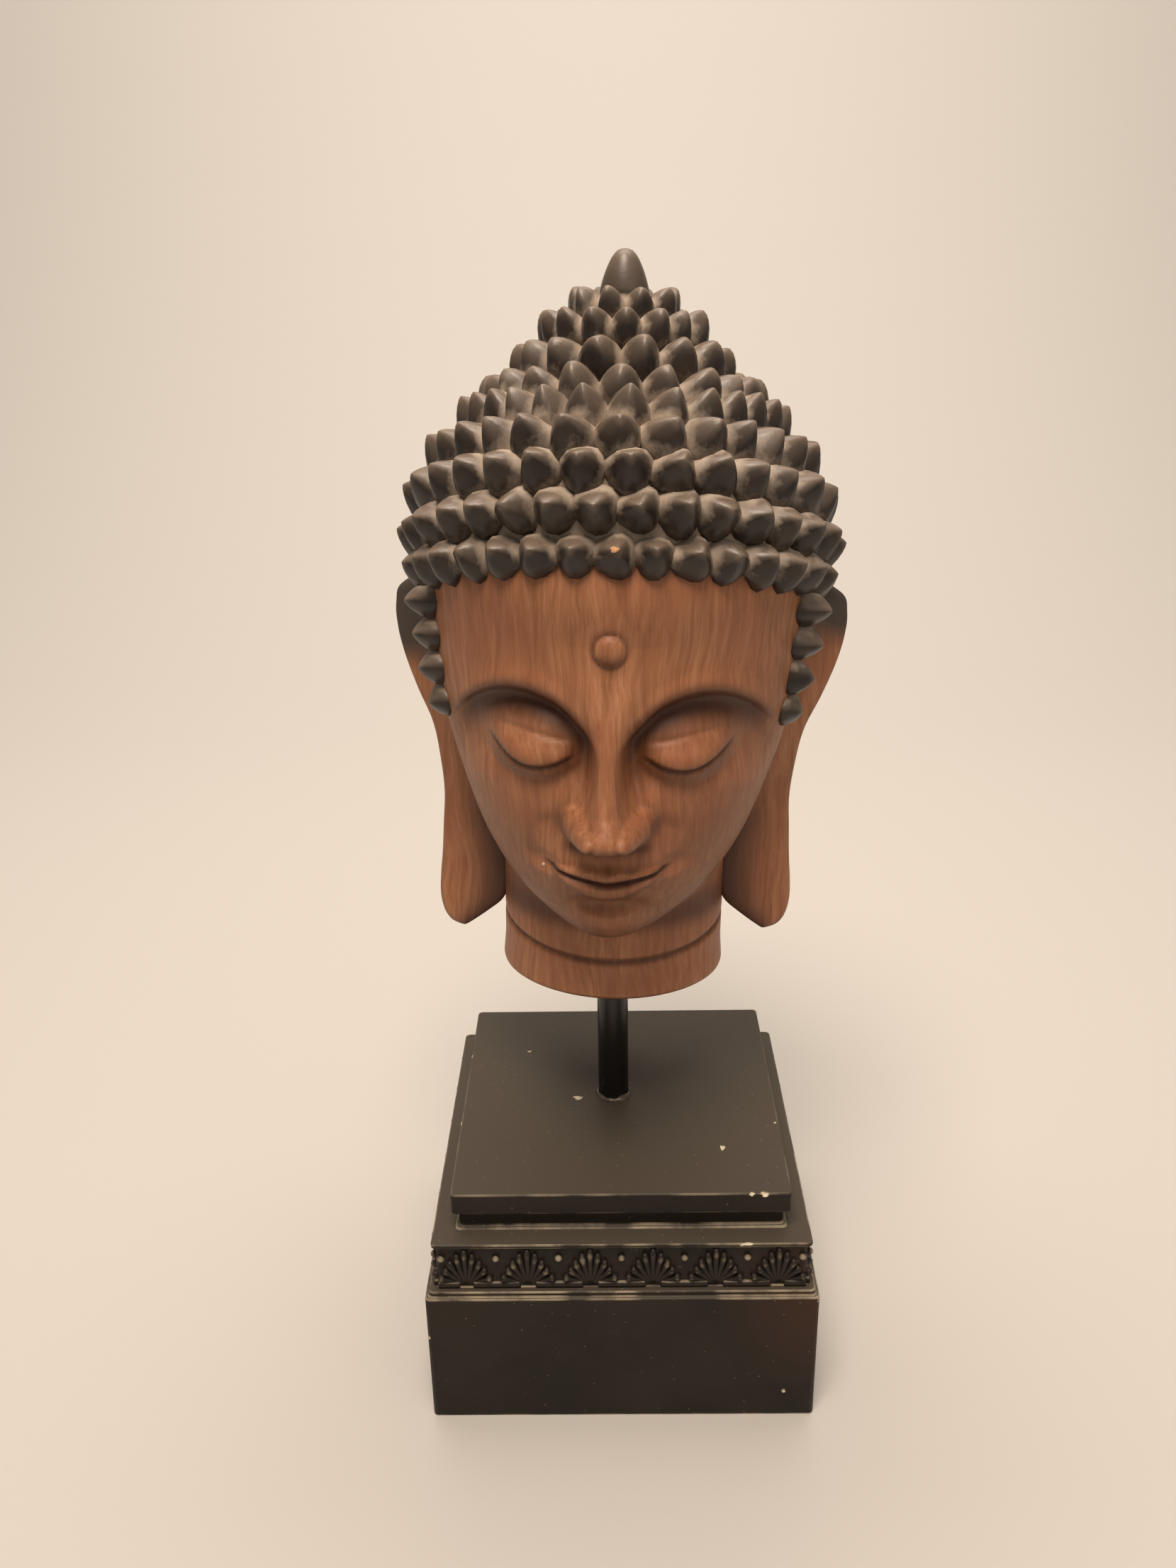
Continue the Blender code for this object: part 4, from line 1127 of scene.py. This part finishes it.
def squareRing(half, height):
    radius = min(plinthSizes["cornerRadius"], half)
    steps = plinthSizes["cornerSteps"]
    points = []
    for corner in range(4):
        middle = math.pi / 4 + corner * math.pi / 2
        inner = (half - radius) * math.sqrt(2)
        for step in range(steps + 1):
            angle = corner * math.pi / 2 + math.pi / 2 * step / steps
            points.append((inner * math.cos(middle) + radius * math.cos(angle),
                           inner * math.sin(middle) + radius * math.sin(angle), height))
    return points


def chipCutter(middle, sizes, number):  # an uneven flattened lump that scoops out a chip
    work = bmesh.new()
    bmesh.ops.create_icosphere(work, subdivisions=2, radius=1.0)
    chance = np.random.default_rng(plinthSizes["seed"] + number)
    for vertex in work.verts:
        vertex.co *= 1 + 0.22 * float(chance.normal())
        vertex.co = Vector((vertex.co[place] * sizes[place] + middle[place] for place in range(3))) / 1000
    mesh = bpy.data.meshes.new("chip cutter")
    work.to_mesh(mesh)
    work.free()
    mesh.materials.append(creamFiller)
    return linkObject("chip cutter", mesh)


def buildPlinthBody(rodMiddle):
    profile = plinthProfile()
    points = [point for half, height in profile for point in squareRing(half, height)]
    columns = 4 * (plinthSizes["cornerSteps"] + 1)
    mesh = tubeMesh("plinth", np.array(points) / 1000, len(profile), columns)
    mesh.materials.append(darkWashResin)
    mesh.materials.append(rubbedEdgeResin)
    body = linkObject("plinth", mesh)
    rounding = body.modifiers.new("rubbed edges", 'BEVEL')
    rounding.width = plinthSizes["edgeRounding"] / 1000
    rounding.segments = 3
    rounding.limit_method = 'ANGLE'
    rounding.angle_limit = math.radians(35)
    rounding.material = 1
    cutters = [chipCutter(middle, sizes, number)
               for number, (middle, sizes) in enumerate(plinthSizes["chips"])]
    radius = plinthSizes["boreRadius"] / 1000
    top = profile[-1][1] / 1000
    sides = plinthSizes["boreSides"]
    turns = [math.tau * side / sides for side in range(sides)]
    bore = [(rodMiddle[0] + radius * math.cos(turn), rodMiddle[1] + radius * math.sin(turn), height)
            for height in (top - plinthSizes["boreDepth"] / 1000, top + 0.01) for turn in turns]
    boreMesh = tubeMesh("bore", bore, 2, sides)
    boreMesh.materials.append(darkWashResin)
    cutter = joinInto(cutters[0], cutters[1:] + [linkObject("bore", boreMesh)])
    scoop = body.modifiers.new("chips and bore", 'BOOLEAN')
    scoop.operation = 'DIFFERENCE'
    scoop.solver = 'EXACT'
    scoop.use_self = True
    scoop.material_mode = 'TRANSFER'
    scoop.object = cutter
    settle(body)
    dropObject(cutter)
    body.data.shade_smooth()
    body.data.set_sharp_from_angle(angle=math.radians(38))
    for face in body.data.polygons:
        if face.material_index == 0 and max(abs(part) for part in face.normal) > 0.9999:
            face.use_smooth = False
    return body, top


def lobePoints(tip, rings, sides):  # one lobe of the palmette, narrow at the foot and round at its end
    tip = Vector((tip[0], tip[1], 0))
    start = Vector((tip.x * 0.1, 1.0, 0))
    bend = Vector((tip.x * 0.72, start.y + (tip.y - start.y) * 0.42, 0))
    points = []
    for ring in range(rings):
        share = ring / (rings - 1)
        spot = start * (1 - share) ** 2 + bend * 2 * share * (1 - share) + tip * share**2
        heading = ((bend - start) * (1 - share) + (tip - bend) * share).normalized()
        side = Vector((-heading.y, heading.x, 0))
        rounded = math.sqrt(max(1 - ((share - 0.82) / 0.2) ** 2, 0.04)) if share > 0.82 else 1.0
        wide = plinthSizes["lobeWidth"] * (0.3 + 0.7 * share) * rounded
        rise = plinthSizes["lobeRise"] * (0.12 + 0.88 * share**2.6) * rounded
        for corner in range(sides):
            angle = math.tau * corner / sides
            out = Vector((0, 0, max(rise * math.sin(angle), -0.6)))
            points.append(spot + side * wide * math.cos(angle) + out)
    return points


def palmetteSeed():  # a fan of nine lobes on a short stem: across, up and out from the panel
    rings, sides = plinthSizes["lobeRings"], plinthSizes["lobeSides"]
    points, faces = [], []
    middle, *others = plinthSizes["lobeTips"]
    for tip in [middle] + [(flip * x, z) for x, z in others for flip in (-1, 1)]:
        faces += tubeFaces(rings, sides, len(points))
        points += lobePoints(tip, rings, sides)
    mesh = turnOutwards(meshFrom("palmette seed", points, faces))
    storeNumber(mesh, "lift", [point[2] / plinthSizes["lobeRise"] for point in points])
    mesh.shade_smooth()
    return mesh


def pearlSeed():
    work = bmesh.new()
    bmesh.ops.create_icosphere(work, subdivisions=2, radius=0.5)
    mesh = bpy.data.meshes.new("pearl seed")
    work.to_mesh(mesh)
    work.free()
    storeNumber(mesh, "lift", [vertex.co.z + 0.5 for vertex in mesh.vertices])
    mesh.shade_smooth()
    return mesh


def stripSeed():  # a half-round bar with rounded ends, one unit long
    points = []
    for along, size in ((-0.5, 0.3), (-0.485, 0.8), (-0.46, 1.0), (0.46, 1.0), (0.485, 0.8), (0.5, 0.3)):
        for corner in range(10):
            angle = math.tau * corner / 10
            points.append((along, 0.5 * size * math.cos(angle), 0.5 * size * math.sin(angle)))
    mesh = tubeMesh("strip seed", points, 6, 10)
    # lift rises to the bar's upper side, so the ornament's finish paints its top pale: partly wear, partly
    # painted light from above
    storeNumber(mesh, "lift", [0.72 * ramp(0, 0.5, point[1]) for point in points])
    mesh.shade_smooth()
    return mesh


def buildBand():  # palmettes, pearls and the strips between their stems, on all four sides
    blockHeight, bandHeight = plinthSizes["block"][1], plinthSizes["band"][1]
    panel = plinthSizes["band"][0] / 2 - plinthSizes["bandRecess"]
    count = plinthSizes["palmettes"]
    pitch = plinthSizes["band"][0] / (count + 0.05)
    foot = blockHeight + bandHeight - plinthSizes["shelf"] - plinthSizes["palmetteHeight"] - 0.4
    kinds = {"palmettes": [], "pearls": [], "strips": []}
    for quarter in range(4):
        turn = Matrix.Rotation(quarter * math.pi / 2, 4, 'Z')
        facing = (turn @ Matrix.Rotation(math.pi / 2, 4, 'X')).to_euler()[:]
        for number in range(count):
            spot = turn @ Vector(((number - (count - 1) / 2) * pitch, -panel, foot))
            kinds["palmettes"].append((spot / 1000, facing, (0.001, 0.001, 0.001)))
        pearl = plinthSizes["pearl"] / 1000
        for number in range(count + 1):
            across = (number - count / 2) * pitch
            limit = panel - plinthSizes["pearl"] * 0.75
            spot = turn @ Vector((max(-limit, min(limit, across)), -panel - 0.5,
                                  blockHeight + bandHeight - plinthSizes["pearlDrop"]))
            kinds["pearls"].append((spot / 1000, facing, (pearl, pearl, pearl)))
            length = plinthSizes["stripSpan"]
            if number in (0, count):
                length = length / 2 - 0.6
                across = math.copysign(limit + plinthSizes["pearl"] * 0.6 - length / 2, across)
            spot = turn @ Vector((across, -panel - 0.1, blockHeight + plinthSizes["stripHeight"]))
            kinds["strips"].append((spot / 1000, facing, (length / 1000, 0.0024, 0.0022)))
    made = []
    for name, seed in (("palmettes", palmetteSeed()), ("pearls", pearlSeed()), ("strips", stripSeed())):
        spots, turns, sizes = zip(*kinds[name])
        made.append(scatter(name, spots, turns, sizes, seed, carvedWashResin, randomSeed=plinthSizes["seed"]))
    return made


# The same wash over the band's ornament, painted pale on the points that stand furthest out: partly rubbed
# wear, partly a painted highlight.
def makeCarvedWashResin():
    finish, tree, shader, place = newFinish("carvedWashPaintedResin")
    cloud = addNode(tree, 'ShaderNodeTexNoise', {"Vector": place, "Scale": 190.0, "Detail": 3.0})
    lift = addNode(tree, 'ShaderNodeAttribute', attribute_name="lift")
    uneven = addNode(tree, 'ShaderNodeMath', {0: cloud.outputs["Fac"], 1: 0.7, 2: lift.outputs["Fac"]},
                     operation='MULTIPLY_ADD')
    # the highest points painted pale: partly rubbed wear, partly a painted highlight
    rubShare = addNode(tree, 'ShaderNodeMapRange',
                       {"Value": uneven.outputs[0], "From Min": 0.86, "From Max": 1.28,
                        "To Max": 0.85})
    tint = addNode(tree, 'ShaderNodeMixRGB', {"Fac": cloud.outputs["Fac"], "Color1": linearColour("1B1511"),
                                              "Color2": linearColour("2E251D")})
    rubbed = addNode(tree, 'ShaderNodeMixRGB', {"Fac": rubShare.outputs[0], "Color1": tint.outputs[0],
                                                "Color2": linearColour("A69880")})
    coat(tree, shader, rubbed.outputs[0], (cloud.outputs["Fac"], 0.38, 0.6))
    shader.inputs["Specular IOR Level"].default_value = 0.35
    return finish


carvedWashResin = makeCarvedWashResin()
plinth, slabTop = buildPlinthBody(rodMiddle)
joinInto(plinth, buildBand() + [buildGlue(rodMiddle, slabTop)])
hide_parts("plinth")
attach(plinth, "root")
print("plinth cast:", len(plinth.data.polygons), "faces")
